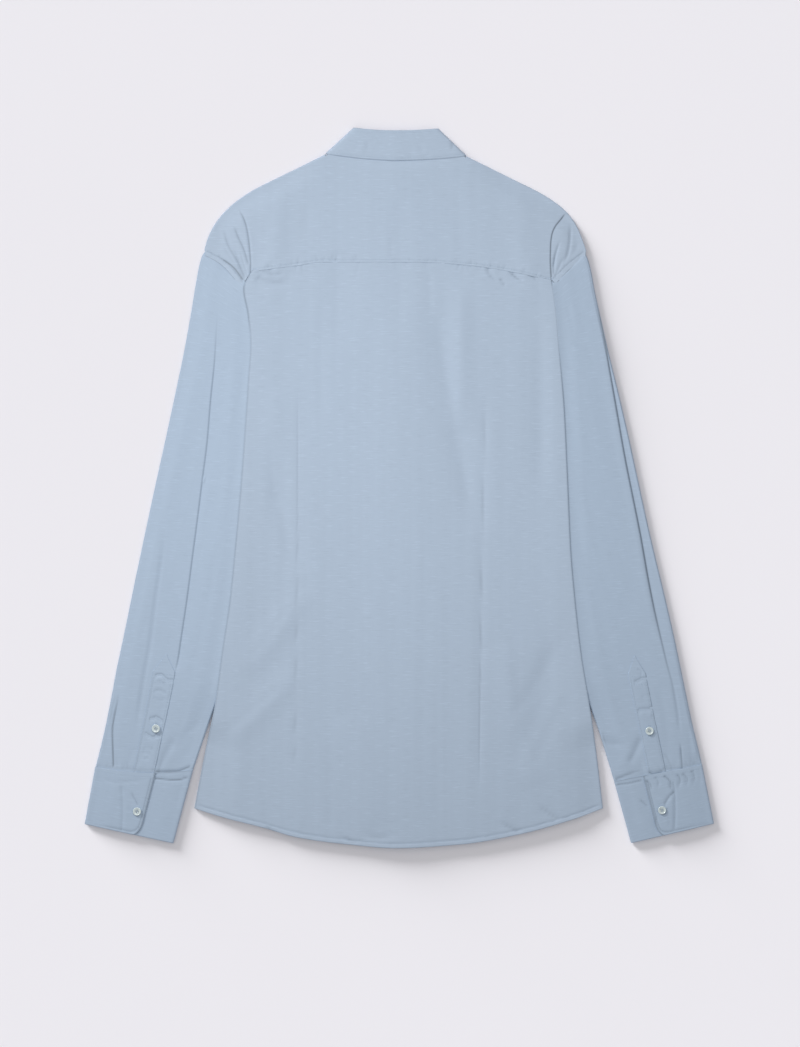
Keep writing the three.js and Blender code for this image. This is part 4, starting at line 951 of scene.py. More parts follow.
# %% Sleeve tables
SLEEVE_LEFT = [
    (-210.5, 262.5, -160, 224, 0), (-216, 256.6, -163.5, 214.4, 0.5),
    (-220.2, 243, -163, 203.6, 0.8),
    (-224, 222, -160.6, 190.5, 1.1), (-229, 192, -157.6, 174, 1.4),
    (-235.6, 155, -157.3, 147, 1.6), (-245.9, 105, -160.2, 100, 1.7),
    (-256, 58, -162.5, 54, 1.7), (-267, 8, -166, 5, 1.7), (-280.6, -55, -171.6, -60, 1.7),
    (-294.6, -122, -179.2, -127, 1.6), (-303, -163, -185.4, -168, 1.6),
    (-311.1, -201, -191.8, -205, 1.6), (-317.5, -235, -202.6, -239, 1.5),
    (-322.9, -262, -211.6, -264, 1.4), (-329, -288, -220.4, -290, 1.3),
    (-334.4, -308.6, -228.1, -312.8, 1.2)]
SLEEVE_RIGHT = [
    (200.5, 260, 163, 228, 0), (205.4, 255.6, 165, 218, 0.5), (210.5, 240, 165.6, 206, 0.8),
    (214.8, 217, 166.6, 193, 1.1), (220.8, 190, 168, 176, 1.4),
    (228.5, 156, 169, 148, 1.6), (240.9, 105, 171.8, 100, 1.7), (251.4, 60, 174.6, 56, 1.7),
    (262.7, 8, 177, 4, 1.7), (276.6, -55, 180.4, -60, 1.7), (292.6, -122, 185.6, -127, 1.6),
    (302.2, -164, 190.8, -168, 1.6), (310.4, -203, 197.8, -206, 1.6),
    (317, -235, 208.6, -237, 1.5), (322.7, -262, 218.2, -262, 1.4),
    (328.6, -286, 227.4, -291, 1.3), (333.2, -306, 237.4, -324.6, 1.2)]
SLEEVE_TUCK = 9
SLEEVE_RISE = 18
CUFF_SAG = 4
STRAP_SECTION = 12
HEAD_DEPTH = 1.5

# %% [markdown]
# The left sleeve has one long fold from the armpit to the placket, which steps down
# towards the body, and softer ones outside it. The right sleeve's fold runs near its outer
# edge: the top layer stops there and a narrow strip of the lower one shows past it.

# %% Sleeve creases
LEFT_SLEEVE_CREASES = [
    Crease([(-199.5, 206.5), (-203, 140.5), (-207.4, 96.5), (-211, 52.5), (-216.5, 8.5)],
           step=1.3, width=1.6, recover=18, ends=(0.5, 0.001), shade=0.12),
    Crease([(-216.5, 8.5), (-222, -35.5), (-227.8, -79.5), (-233.5, -123.5), (-240.1, -167.5),
            (-243.8, -192), (-248.2, -209.3)],
           step=1.4, width=1.6, recover=8, ends=(0.001, 0.12), shade=0.14),
    Crease([(-255, 60), (-258.5, -10), (-261, -79.5)], depth=0.3, width=6, ends=(0.5, 0.3)),
    Crease([(-258, -50), (-261.5, -79.5), (-267.6, -123.5), (-273.1, -167.5), (-280.8, -211.5),
            (-287.4, -255.5), (-289.6, -277.5)],
           depth=0.9, width=2.4, lip=0.3, ends=(0.2, 0.2), shade=0.08),
    Crease([(-308.6, -222), (-310.6, -236), (-313.8, -252), (-315.8, -268), (-315.2, -288),
            (-314.6, -308)],
           step=1.0, width=1.0, recover=6, ends=(0.35, 0.03), shade=0.5),
    Crease([(-312, -228), (-316.6, -246), (-318, -266)],
           depth=0.4, width=1.6, ends=(0.3, 0.4), shade=0.12),
    Crease([(-325, -250), (-322, -275), (-321, -300)], depth=0.3, width=3),
    Crease([(-243.4, -268), (-252.2, -286.3), (-266.5, -310.5)],
           depth=1.1, width=4.5, lip=0.3, ends=(0.4, 0.1), shade=0.06),
    Crease([(-216, -256), (-236, -272), (-246, -296)], depth=0.4, width=5),
    Crease([(-292, -283), (-296, -300), (-300, -311)], depth=0.35, width=3, ends=(0.5, 0.02)),
    Crease([(-283, -288), (-286, -302), (-292, -312)], depth=0.3, width=2.4, ends=(0.5, 0.02)),
    Crease([(-268.5, -312.4), (-247, -312.2), (-230, -306.8)],
           depth=1.1, width=1.5, ends=(0.02, 0.02), shade=0.4),
    Crease([(-232, 185), (-238, 110), (-246, 60)], depth=0.25, width=9),
    Crease([(-186, 180), (-184, 120), (-190, 40)], depth=-0.2, width=8),
    Crease([(-252, -222), (-262, -250), (-268, -290)], depth=0.25, width=4),
    Crease([(-232, -210), (-234, -250), (-226, -280)], depth=-0.25, width=6),
]
RIGHT_FOLD = [(216.4, 209.8), (225.2, 165.8), (232.9, 121.8), (240.6, 77.8), (248.3, 33.8),
              (257.1, -10.2), (265.9, -54.2), (273.6, -98.2), (282.4, -142.2), (288.5, -168)]
RIGHT_SLEEVE_CREASES = [
    Crease(RIGHT_FOLD + [(293.5, -190), (300, -214), (306.5, -250), (309, -275)],
           step=2.0, width=1.9, recover=45, ends=(0.04, 0.42), shade=0.5),
    Crease([(254, 0), (264.4, -52), (272.2, -97), (281, -141), (289, -176)],
           depth=0.2, width=4, ends=(0.5, 0.3), shade=0.1),
    Crease([(x - 4, y) for x, y in RIGHT_FOLD], depth=-0.25, width=4, ends=(0.2, 0.1)),
    Crease([(299, -204), (307, -250), (309.4, -275)],
           depth=0.6, width=2.2, lip=0.2, ends=(0.4, 0.3), shade=0.08),
    Crease([(309.4, -280), (310.6, -296), (311.4, -313)],
           depth=0.9, width=1.3, lip=0.2, ends=(0.3, 0.02), shade=0.4),
    Crease([(290, -290), (296, -300), (300, -312)],
           depth=0.5, width=2.4, ends=(0.4, 0.02), shade=0.1),
    Crease([(274, -312.4), (281.3, -315.6), (290.5, -311.8)],
           depth=0.9, width=1.5, lip=0.3, ends=(0.1, 0.1), shade=0.4),
    Crease([(267, -271), (260.1, -287), (251.5, -304)],
           depth=1.1, width=4.2, lip=-0.3, ends=(0.3, 0.15), shade=0.08),
    Crease([(222, -276), (236, -281.5), (252, -281.9)],
           depth=1.1, width=4.5, lip=-0.2, ends=(0.02, 0.5), shade=0.1),
    Crease([(234, -312), (250, -300), (262, -284)], depth=-0.35, width=5),
    Crease([(238, -321), (254, -314.5), (270, -310)],
           depth=1.0, width=2.0, lip=0.2, ends=(0.02, 0.5), shade=0.25),
    Crease([(182, 180), (186, 110), (192, 30)], depth=0.25, width=8),
    Crease([(206, 150), (214, 70), (226, -20)], depth=-0.25, width=9),
    Crease([(236, 10), (250, -60), (262, -140)], depth=0.25, width=9),
    Crease([(196, 20), (203, -90), (214, -190)], depth=0.3, width=7),
    Crease([(222, -40), (236, -140), (246, -220)], depth=-0.2, width=8),
    Crease([(284, -214), (292, -250), (297, -300)], depth=0.35, width=5),
    Crease([(318, -260), (321, -285), (322, -303)], depth=0.3, width=3),
    Crease([(184, 205), (190, 180), (196, 140)], depth=0.25, width=4, ends=(0.1, 0.7)),
]


# %% [markdown]
# The upper layer of a sleeve rises against the side of the body and dives under it there.
# It sinks at its head below the yoke, and at its foot it comes down to the cuff's level.
# One class holds this for both sleeves, because the strap reads the same heights.

# %% One sleeve
BODY_LIFT_REACH = 20
BODY_LIFT_RAMP = (-2, -0.2)
BODY_LIFT_FADES = (SLEEVE_LEAVES - 10, SLEEVE_LEAVES + 40)
SIDE_SHADE_REACH = 1.1
SIDE_SHADE_INSIDE = -1.5
EDGE_RAMP = (0.5, 4)
HEAD_RAMP = (0.15, 1.1)
SAG_RAMP = (0.93, 1)
FOOT_RAMP = (0.955, 0.992)
FOOT_CREASE_SHARE = 0.6
TUCK_RAMP = (0.99, 0.9965)
LAYER_GAP = 0.9
LEFT_SIDE_X = smooth_reader(*zip(*[(y, x) for x, y in LEFT_SIDE]))
RIGHT_SIDE_X = smooth_reader(*zip(*[(y, x) for x, y in RIGHT_SIDE]))
CUFF_LEVEL = smooth_reader([0, 0.05, 0.18, 0.32, 0.62, 0.66, 0.8, 1],
                           [2.9, 3, 4, 4.5, 4.5, 3.4, 3.4, 3.1])
CUFF_TUCK = 0.4
CUFF_SEAM_AT = 0.995
RIGHT_OUTER_RISE = 4


class Sleeve:
    """Where every point of one sleeve lies."""

    def __init__(self, table, creases, sag, outer_rise, body_side, body_lift, side_shade):
        rows = np.array(table, float)
        middle = (rows[:, 0:2] + rows[:, 2:4]) / 2
        walked = np.concatenate([[0], np.cumsum(np.hypot(*np.diff(middle, axis=0).T))])
        self.length = walked[-1]
        self.stations = walked / walked[-1]
        readers = [smooth_reader(self.stations, rows[:, k]) for k in range(5)]
        self.outer_x, self.outer_y, self.inner_x, self.inner_y, self.crown = readers
        self.creases = creases
        self.sag = sag
        self.outer_rise = outer_rise
        self.body_side = body_side
        self.body_lift = body_lift
        self.side_shade = side_shade

    def outside_body(self, x, y):
        return (x - self.body_side(y)) * np.sign(self.outer_x(0))

    def beside_body(self, x, y):
        """The cloth rises against the body's side and dives under it there."""
        outside = self.outside_body(x, y)
        return (self.body_lift(y) * np.exp(-np.maximum(outside, 0) / BODY_LIFT_REACH)
                * smooth_step(*BODY_LIFT_RAMP, outside) * smooth_step(*BODY_LIFT_FADES, y))

    def shade(self, share, v):
        x, y = self.flat(share, v)
        outside = self.outside_body(x, y)
        beside_side = np.exp(-((outside / SIDE_SHADE_REACH) ** 2)) * (outside > SIDE_SHADE_INSIDE)
        return crease_field(self.creases, x, y)[1] + self.side_shade(y) * beside_side

    def width(self, v):
        return np.hypot(self.inner_x(v) - self.outer_x(v), self.inner_y(v) - self.outer_y(v))

    def flat(self, share, v):
        x = mix(self.outer_x(v), self.inner_x(v), share)
        y = mix(self.outer_y(v), self.inner_y(v), share)
        return x, y - self.sag * smooth_step(*SAG_RAMP, v) * np.sin(math.pi * np.clip(share, 0, 1))

    def top(self, share, v):
        """Height of the middle of the upper layer."""
        width = self.width(v)
        from_inner, from_outer = (1 - share) * width, share * width
        rise = (smooth_step(SLEEVE_TUCK, SLEEVE_TUCK + SLEEVE_RISE, from_inner)
                * smooth_step(0, self.outer_rise, from_outer))
        fine = crease_height(self.creases, *self.flat(share, v))
        shown = smooth_step(*EDGE_RAMP, np.minimum(from_inner, from_outer))
        height = FLOOR_LAYER + SLEEVE_ROUND + self.crown(v) * rise + fine * shown
        height = height + self.beside_body(*self.flat(share, v))
        height = height - HEAD_DEPTH * (1 - smooth_step(*HEAD_RAMP, v / self.stations[1]))
        foot = CUFF_LEVEL(share) + fine * FOOT_CREASE_SHARE
        height = mix(height, foot, smooth_step(*FOOT_RAMP, v))
        height = height - CUFF_TUCK * smooth_step(*TUCK_RAMP, v)
        return np.maximum(height, FLOOR_LAYER + LAYER_GAP)


left_sleeve = Sleeve(
    SLEEVE_LEFT, LEFT_SLEEVE_CREASES, CUFF_SAG, SLEEVE_RISE, LEFT_SIDE_X,
    smooth_reader([-250, 225], [3.9, 3.9]),
    smooth_reader([-250, -150, 40, 170, 190, 218], [0.04, 0.1, 0.13, 0.06, 0.3, 0.35]))
right_sleeve = Sleeve(
    SLEEVE_RIGHT, RIGHT_SLEEVE_CREASES, 0, RIGHT_OUTER_RISE, RIGHT_SIDE_X,
    smooth_reader([-250, 90, 175, 225], [2.9, 3.0, 3.8, 3.8]),
    smooth_reader([-250, -120, 0, 100, 170, 225], [0.05, 0.3, 0.35, 0.25, 0.04, 0.04]))


def cuff_seam(sleeve):
    return [sleeve.flat(share, CUFF_SEAM_AT) for share in np.linspace(0.02, 0.98, 7)]


left_sleeve.creases += puckers(cuff_seam(left_sleeve), 22, 16, 0.3, 1.8, seed=31,
                               sides=(1,), part=(0.03, 0.55))
right_sleeve.creases += puckers(cuff_seam(right_sleeve), 22, 15, 0.35, 1.8, seed=32,
                                sides=(-1,), part=(0.03, 0.5))

# %% The sleeves
UNDER_COLUMNS = 18
OVER_COLUMNS = 124
SLEEVE_ROWS = 216
RING = 2 * CURL_ROWS + UNDER_COLUMNS + OVER_COLUMNS + 1
UNDER_MARGIN = 2
OVER_MARGIN = 0.8


def place_sleeve(sleeve, across):
    rows = spaced(SLEEVE_ROWS, (0, 1), 0.04, 1.2)
    under = np.linspace(0, 1, UNDER_COLUMNS)
    radius = SLEEVE_ROUND / 2

    def place(column, row):
        v = rows[row]
        width = sleeve.width(v)
        column = column % (RING - 1)
        turn = CURL_ROWS
        first = UNDER_COLUMNS
        second = first + turn
        third = second + OVER_COLUMNS
        is_under, is_over = column < first, (column >= second) & (column < third)
        inner_angle = CURL_ANGLES[np.clip(column - first, 0, turn - 1)]
        outer_angle = CURL_ANGLES[::-1][np.clip(column - third, 0, turn - 1)]
        at_under = mix(UNDER_MARGIN / width, 1 - UNDER_MARGIN / width,
                       under[np.clip(column, 0, first - 1)])
        over = across[np.clip(third - 1 - column, 0, OVER_COLUMNS - 1)]
        at_over = mix(OVER_MARGIN / width, 1 - OVER_MARGIN / width, over)
        at_inner = 1 - radius * (1 - np.cos(inner_angle)) / width
        at_outer = radius * (1 - np.cos(outer_angle)) / width
        angle = np.where(column < second, inner_angle, outer_angle)
        share = np.where(is_under, at_under, np.where(is_over, at_over, np.where(
            column < second, at_inner, at_outer)))
        z = FLOOR_LAYER + radius + radius * np.sin(angle)
        z = np.where(is_under, FLOOR_LAYER, np.where(is_over, sleeve.top(share, v), z))
        x, y = sleeve.flat(share, v)
        along = sleeve.length * v
        shade = np.where(is_over, sleeve.shade(share, v), 0)
        return x, y, z, np.where(is_under, -1, 1) * share * width, along, shade
    return place


left_across = spaced(OVER_COLUMNS, (0.13, 0.44, 0.53, 0.95), 0.045, 1.6)
right_across = spaced(OVER_COLUMNS, (0.04, 0.15, 0.94), 0.05, 2.2)
for side, sleeve, across in (("left", left_sleeve, left_across),
                             ("right", right_sleeve, right_across)):
    lay_cloth(f"sleeve_{side}_cloth", f"sleeve_{side}", RING, SLEEVE_ROWS,
              place_sleeve(sleeve, across), SLEEVE_FINISH, join=True)

# %% [markdown]
# ## The sleeve plackets
# Each slit above a cuff is bound by a strap with a pointed top, sewn over the sleeve. It
# follows the sleeve's own upper layer a little higher, so it can't sink into it. Short
# stitched bars cross it below the point, and the cloth between bars and button puckers.

# %% Placket straps
STRAP_POINT = 20
STRAP_LIFT = 0.5
STRAP_DIVE = 0.42
STRAP_RIM_SHADE = 0.07
STRAP_LEFT = ((0.335, 0.39), (0.54, 0.606))
STRAP_RIGHT = ((0.35, 0.415), (0.52, 0.61))
STRAP_DIVES_AT = (0.955, 0.98)
STRAP_BLUNT = 0.04
STRAP_EDGES = (0.09, 0.91)
STRAP_COLUMNS = 26
STRAP_ROWS = 74


def strap_edges(sleeve, straps):
    """The dents of the stitches along both edges of a strap, with a little painted shade in them."""
    return [Crease([strap_spot(sleeve, straps, share, height) for height in (0.2, 0.45, 0.7, 1)],
                   depth=0.15, width=0.9, ends=(0.01, 0.01), shade=0.05)
            for share in STRAP_EDGES]


def strap_spot(sleeve, straps, across, down):
    """A flat place on the strap, by shares of its width and of its length."""
    share, v = strap_place(sleeve, straps, across, down)
    x, y = sleeve.flat(share, v)
    return float(x), float(y)


def strap_place(sleeve, straps, across, down):
    first_v = sleeve.stations[STRAP_SECTION]
    tip_v = first_v - STRAP_POINT / sleeve.length
    v = mix(tip_v, 1.0, down)
    along = np.maximum((v - first_v) / (1 - first_v), -1)
    first, last = (mix(*edge, along) for edge in straps)
    point = np.clip((v - tip_v) * sleeve.length / STRAP_POINT, STRAP_BLUNT, 1)
    return (first + last) / 2 + (last - first) / 2 * point * (2 * across - 1), v


def place_strap(sleeve, straps, creases):
    across_shares = np.linspace(0, 1, STRAP_COLUMNS)
    down_shares = spaced(STRAP_ROWS, (0.08,), 0.06, 2.0)

    def place(column, row):
        share, v = strap_place(sleeve, straps, across_shares[column], down_shares[row])
        x, y = sleeve.flat(share, v)
        fine, shade = crease_field(creases, x, y)
        dive = STRAP_DIVE * smooth_step(*STRAP_DIVES_AT, down_shares[row])
        z = sleeve.top(share, v) + STRAP_LIFT + fine - dive
        shade = shade + STRAP_RIM_SHADE * (column < 2)
        return x, y, z, share * sleeve.width(v), v * sleeve.length, shade
    return place


def bar(line, deep, shade):
    return Crease(line, depth=deep, width=1.3, lip=deep * 0.6, ends=(0.08, 0.08), shade=shade)


LEFT_STRAP_CREASES = [
    bar([(-269.5, -206.5), (-262, -205.5), (-256, -210.5), (-247.5, -212.5)], 1.1, 0.45),
    Crease([(-268, -209.5), (-262, -210), (-257, -214.5)], depth=-0.8, width=1.4),
    bar([(-271, -224), (-264, -222), (-256, -226)], 0.5, 0.1),
    bar([(-271, -230), (-263, -233), (-258, -232)], 0.35, 0.05),
    bar([(-275.5, -255), (-267.5, -252.5), (-259.5, -257.5)], 1.1, 0.4),
    bar([(-280, -269.5), (-271.5, -274), (-260.5, -271)], 1.1, 0.4),
    bar([(-282, -286), (-275, -285), (-270, -289)], 0.45, 0.1),
    bar([(-283, -291), (-276, -290.5), (-273, -294)], 0.35, 0.06),
    bar([(-281, -299), (-276, -296)], 0.3, 0.05)]
RIGHT_STRAP_CREASES = [
    bar([(257.5, -213.2), (262, -212.4), (267, -209.8), (277, -209.4)], 1.0, 0.36),
    bar([(261.5, -245.8), (268, -243.2), (273, -243), (280.5, -241.5)], 1.0, 0.36),
    bar([(266, -230), (272, -228), (277, -229)], 0.3, 0.04),
    Crease([(264, -250), (272, -252), (278, -249)], depth=-0.35, width=1.6),
    bar([(277, -251), (282, -255), (284, -261)], 0.45, 0.1),
    bar([(262, -199), (267, -203), (266, -207)], 0.3, 0.05),
    bar([(274, -312.4), (281.3, -315.6), (290.5, -311.8)], 0.9, 0.4)]
for side, sleeve, straps, creases in (
        ("left", left_sleeve, STRAP_LEFT, LEFT_STRAP_CREASES),
        ("right", right_sleeve, STRAP_RIGHT, RIGHT_STRAP_CREASES)):
    creases = creases + strap_edges(sleeve, straps)
    lay_cloth(f"sleeve_placket_{side}_cloth", f"sleeve_placket_{side}", STRAP_COLUMNS,
              STRAP_ROWS, place_strap(sleeve, straps, creases), SLEEVE_FINISH)

# %% [markdown]
# ## The cuffs
# A cuff is a stiff band, closed on itself with one end over the other. A row of its grid
# starts at the end that lies under, goes round the inner edge, below the cuff and round
# the outer edge, and ends at the rounded end that carries the buttonhole.

# %% Cuff tables
CUFF_LEFT = {
    "top_outer": (-334.8, -309.4), "top_inner": (-228.3, -313.6),
    "end_outer": (-346, -370.3), "end_inner": (-249.1, -391.3), "sag": CUFF_SAG, "overlap": 0.62}
CUFF_RIGHT = {
    "top_outer": (333.4, -306.8), "top_inner": (237.6, -325.4),
    "end_outer": (346, -369.8), "end_inner": (255.7, -391.1), "sag": 0, "overlap": 0.675}
OVERLAP_LENGTH = 0.22
OVERLAP_CORNER = 0.09
CUFF_LAYERS = {"low": FLOOR_STIFF, "under": 3.2, "flap": 4.5}
FLAP_START = 0.32
LEFT_CUFF_CREASES = [
    Crease([(-306.1, -326), (-304.6, -350), (-305.6, -380)],
           depth=0.7, width=2.0, lip=-0.15, ends=(0.1, 0.05), shade=0.06),
    Crease([(-295.5, -334), (-291.5, -342), (-287, -350)],
           depth=0.7, width=1.2, lip=0.2, ends=(0.3, 0.1), shade=0.2),
    Crease([(-330, -318), (-312, -325), (-290, -322), (-276, -322)],
           depth=0.35, width=1.6, shade=0.05),
    Crease([(-269.8, -319.6), (-246, -321.6), (-229.4, -317.4)],
           depth=0.7, width=1.3, lip=0.3, ends=(0.02, 0.2), shade=0.4),
    Crease([(-300, -352.5), (-296, -354), (-292.5, -355.5)],
           depth=0.35, width=1.3, ends=(0.3, 0.1)),
    Crease([(-284, -360), (-280, -366), (-281, -374)], depth=0.25, width=2, ends=(0.2, 0.4)),
    Crease([(-327, -316), (-318, -322), (-300, -322)], depth=0.2, width=3),
    Crease([(-262, -330), (-256, -342), (-258, -360)], depth=0.2, width=4),
    Crease([(-240, -326), (-243, -340), (-246, -352)], depth=0.2, width=3),
]
RIGHT_CUFF_CREASES = [
    Crease([(302.9, -333.9), (296.7, -340), (291, -349.8)],
           depth=0.9, width=1.6, lip=-0.3, ends=(0.1, 0.15), shade=0.24),
    Crease([(300.6, -323), (302.9, -336.9), (303.4, -356), (302.4, -379)],
           depth=0.9, width=1.8, lip=0.3, ends=(0.05, 0.1), shade=0.24),
    Crease([(264.4, -342.6), (269, -347), (273.7, -351)],
           depth=0.8, width=1.3, lip=0.2, ends=(0.3, 0.1), shade=0.22),
    Crease([(239, -326.8), (250.5, -325.4), (267, -322)],
           depth=0.5, width=1.3, lip=0.15, ends=(0.02, 0.05), shade=0.3),
    Crease([(271.5, -322), (276, -326), (278.2, -333)],
           depth=0.6, width=1.4, lip=0.2, ends=(0.05, 0.3), shade=0.24),
    Crease([(281, -318.5), (285, -324), (284, -332)],
           depth=0.6, width=1.5, lip=-0.2, ends=(0.05, 0.5), shade=0.12),
    Crease([(291, -316.5), (298, -324), (298.5, -334)],
           depth=0.9, width=1.6, lip=0.3, ends=(0.05, 0.3), shade=0.36),
    Crease([(306, -315), (309, -322), (305, -333)],
           depth=0.8, width=1.7, lip=0.3, ends=(0.05, 0.5), shade=0.28),
    Crease([(312, -314), (317, -322), (315, -331)],
           depth=0.7, width=1.7, lip=0.3, ends=(0.05, 0.5), shade=0.24),
    Crease([(322, -311), (325, -319), (321, -329)],
           depth=0.7, width=1.9, lip=0.2, ends=(0.05, 0.6), shade=0.2),
    Crease([(329, -309), (331, -318), (330, -330)],
           depth=0.3, width=2.0, ends=(0.05, 0.6), shade=0.05),
    Crease([(284, -362), (282, -370), (286, -380)],
           depth=0.35, width=1.8, ends=(0.1, 0.3), shade=0.05),
    Crease([(296, -360), (298, -368), (296, -378)], depth=0.3, width=2.0, ends=(0.1, 0.4)),
    Crease([(250, -334), (256, -350), (262, -370)], depth=0.2, width=5),
]


def cuff_flat(cuff, share, down):
    at = []
    for axis in (0, 1):
        top = mix(cuff["top_outer"][axis], cuff["top_inner"][axis], share)
        end = mix(cuff["end_outer"][axis], cuff["end_inner"][axis], share)
        at.append(mix(top, end, down))
    return at[0], at[1] - cuff["sag"] * (1 - down) * np.sin(math.pi * np.clip(share, 0, 1))


CUFF_COLUMNS = 190
CUFF_ROWS = 44
CUFF_HEIGHT = 70.0
CUFF_LAP = 2.2
CUFF_TOP_SHADE = smooth_reader([0, 0.3, 0.58, 0.66, 1], [0.12, 0.14, 0.18, 0.5, 0.4])
FLAP_EDGE_SHADE = 0.26
FLAP_COLUMNS_FROM = 0.72
CUFF_STITCH_INSET = 3.2


def cuff_edge(cuff, down):
    """Where the end of the flap lies, rounded at its lower corner."""
    corner = np.clip((down - 0.78) / 0.22, 0, 1)
    return cuff["overlap"] - OVERLAP_CORNER * (1 - np.sqrt(1 - 0.96 * corner**2))


def place_cuff(cuff, creases):
    width = math.dist(cuff["top_outer"], cuff["top_inner"])
    radius = SLEEVE_ROUND / 2
    low, under, flap = CUFF_LAYERS.values()
    overlap = cuff["overlap"]
    path = [(overlap - OVERLAP_LENGTH, under), (overlap, under), (0.8, under + 0.4), (0.94, under)]
    path += [(1 - radius * (1 - math.cos(a)) / width, low + radius + radius * math.sin(a))
             for a in CURL_ANGLES[::-1]]
    path += [(share, low) for share in (0.95, 0.7, 0.4, 0.05)]
    path += [(radius * (1 - math.cos(a)) / width, low + radius + radius * math.sin(a))
             for a in CURL_ANGLES]
    path += [(0.05, low + SLEEVE_ROUND), (0.18, flap - 0.5), (FLAP_START, flap),
             ((FLAP_START + overlap) / 2, flap), (overlap, flap)]
    walk = line_through([(share * width, z) for share, z in path])
    across, heights = walk(spaced(CUFF_COLUMNS, (0.35, 0.36, 1), 0.04, 1.0))
    length = np.concatenate([[0], np.cumsum(np.hypot(np.diff(across), np.diff(heights)))])
    is_flap = np.arange(CUFF_COLUMNS) > CUFF_COLUMNS * FLAP_COLUMNS_FROM
    is_top = heights > low + SLEEVE_ROUND * 0.98
    down_shares = spaced(CUFF_ROWS, (0, 1), 0.08, 1.0)

    def place(column, row):
        down = down_shares[row] * (1 + CUFF_LAP / CUFF_HEIGHT) - CUFF_LAP / CUFF_HEIGHT
        share = across[column] / width
        shrink = (cuff_edge(cuff, down) - FLAP_START) / (overlap - FLAP_START)
        on_flap = is_flap[column] & (share > FLAP_START)
        share = np.where(on_flap, FLAP_START + (share - FLAP_START) * shrink, share)
        x, y = cuff_flat(cuff, share, down)
        edge = smooth_step(0, 0.04, np.minimum(share, 1 - share))
        fine, shade = crease_field(creases, x, y)
        lap = 1 - smooth_step(-CUFF_LAP, 1.2 - CUFF_LAP, down * CUFF_HEIGHT)
        shade = shade + CUFF_TOP_SHADE(share) * lap + FLAP_EDGE_SHADE * (column >= CUFF_COLUMNS - 3)
        z = heights[column] + fine * edge * is_top[column]
        return x, y, z, length[column], -down * CUFF_HEIGHT, shade * is_top[column]
    return place


def cuff_stitch_line(cuff):
    """The topstitching of a cuff, down beside the flap's end and along its foot."""
    width = math.dist(cuff["top_outer"], cuff["top_inner"])
    side = [cuff_flat(cuff, float(cuff_edge(cuff, down)) - CUFF_STITCH_INSET / width, down)
            for down in (0.04, 0.3, 0.55, 0.8, 0.9)]
    corner_share = cuff["overlap"] - OVERLAP_CORNER - 0.02
    foot = [cuff_flat(cuff, share, 1 - CUFF_STITCH_INSET / CUFF_HEIGHT)
            for share in (corner_share, 0.5, 0.3, 0.15, 0.03)]
    return plain_line(side + foot)


for side, cuff, creases in (("left", CUFF_LEFT, LEFT_CUFF_CREASES),
                            ("right", CUFF_RIGHT, RIGHT_CUFF_CREASES)):
    groove = Crease(cuff_stitch_line(cuff), depth=0.35, width=1.1, ends=(0.02, 0.3), shade=0.26)
    lay_cloth(f"cuff_{side}_cloth", f"cuff_{side}", CUFF_COLUMNS, CUFF_ROWS,
              place_cuff(cuff, creases + [groove]), SLEEVE_FINISH, STIFF_WALL)

# %% [markdown]
# ## The band collar
# The collar is one stiff band. It lies across the back of the neck, folds flat at both
# sides, and its two ends run down under the shirt to the front button. The table lists
# its foot and its top edge at places round the neck, and the height that it lies at.

# %% Collar
COLLAR_STATIONS = [
    (6, 281.4, 6, 313.4, 3.1), (-8, 281.2, -9, 313.4, 3.1), (-19, 282.4, -17, 315, 2.9),
    (-31, 287.6, -24, 320, 1.1), (-44, 297, -32, 330, 0.8), (-60, 313.6, -40, 347, 0.8),
    (-71, 334, -45.4, 366, 0.8), (-78, 355, -48.6, 385, 0.8), (-79.6, 366.4, -49.6, 394.6, 1.2),
    (-80.4, 367.9, -50.2, 395.7, 3.3), (-79.2, 367.8, -49, 395.6, 5.3),
    (-66, 366.1, -40, 394.8, 6),
    (-42, 363.1, -24, 393.4, 6.1), (-22, 361.6, -13, 393, 6.1), (-3.9, 360.9, -3.9, 392.9, 6.4),
    (16, 361.3, 8, 393, 6.2), (35, 362.2, 20, 393.4, 6.1), (58, 363.9, 33, 394.1, 6),
    (72, 365.3, 41.4, 394.8, 5.3), (73.2, 365.4, 42.6, 394.9, 3.3), (72.4, 364, 42, 393.8, 1.2),
    (70.6, 352, 40.6, 384, 0.8), (63, 331, 37.4, 364, 0.8), (52, 311.6, 32, 346, 0.8),
    (38, 296, 25, 330, 0.8), (26, 287.6, 18, 320.4, 2.2), (13, 282.4, 10.4, 315, 4.8),
    (2, 280.6, 1, 313.4, 5), (-16, 280, -15, 313, 5)]
COLLAR_CREASES = [
    Crease([(-35.5, 384), (-35.5, 369)], depth=0.45, width=2, ends=(0.5, 0.3), shade=0.05),
    Crease([(-47, 381), (-46, 370)], depth=0.25, width=2.2, ends=(0.4, 0.4)),
    Crease([(22.8, 384), (28.3, 367)], depth=0.3, width=3.4, lip=0.1, ends=(0.3, 0.3)),
    Crease([(31, 374), (33, 362)], depth=0.25, width=1.8, ends=(0.4, 0.1)),
    Crease([(14, 372), (13, 362)], depth=0.2, width=1.8, ends=(0.4, 0.1)),
    Crease([(58.2, 381), (57, 369)], depth=0.7, width=2.0, lip=-0.2, ends=(0.2, 0.6), shade=0.2),
    Crease([(-78, 369.5), (-42, 365.2), (-3.9, 363), (35, 364.3), (70, 367)],
           depth=0.22, width=1.2,
           ends=(0.01, 0.01)),
    Crease([(-4.5, 366), (-4.5, 360.5)], depth=-0.25, width=1.0, ends=(0.4, 0.05)),
]
COLLAR_FOOT_STITCHES = [(-76, 368.2), (-42, 364.6), (-3.9, 362.6), (35, 363.7), (69, 366.8)]
COLLAR_TOP_STITCHES = [(-50, 391.4), (-24, 390.6), (-3.9, 390.4), (20, 390.8), (42, 391.4)]
COLLAR_WIDTH = 32
BACK_OF_NECK = 350
COLLAR_RISES = (4.6, 5.6)
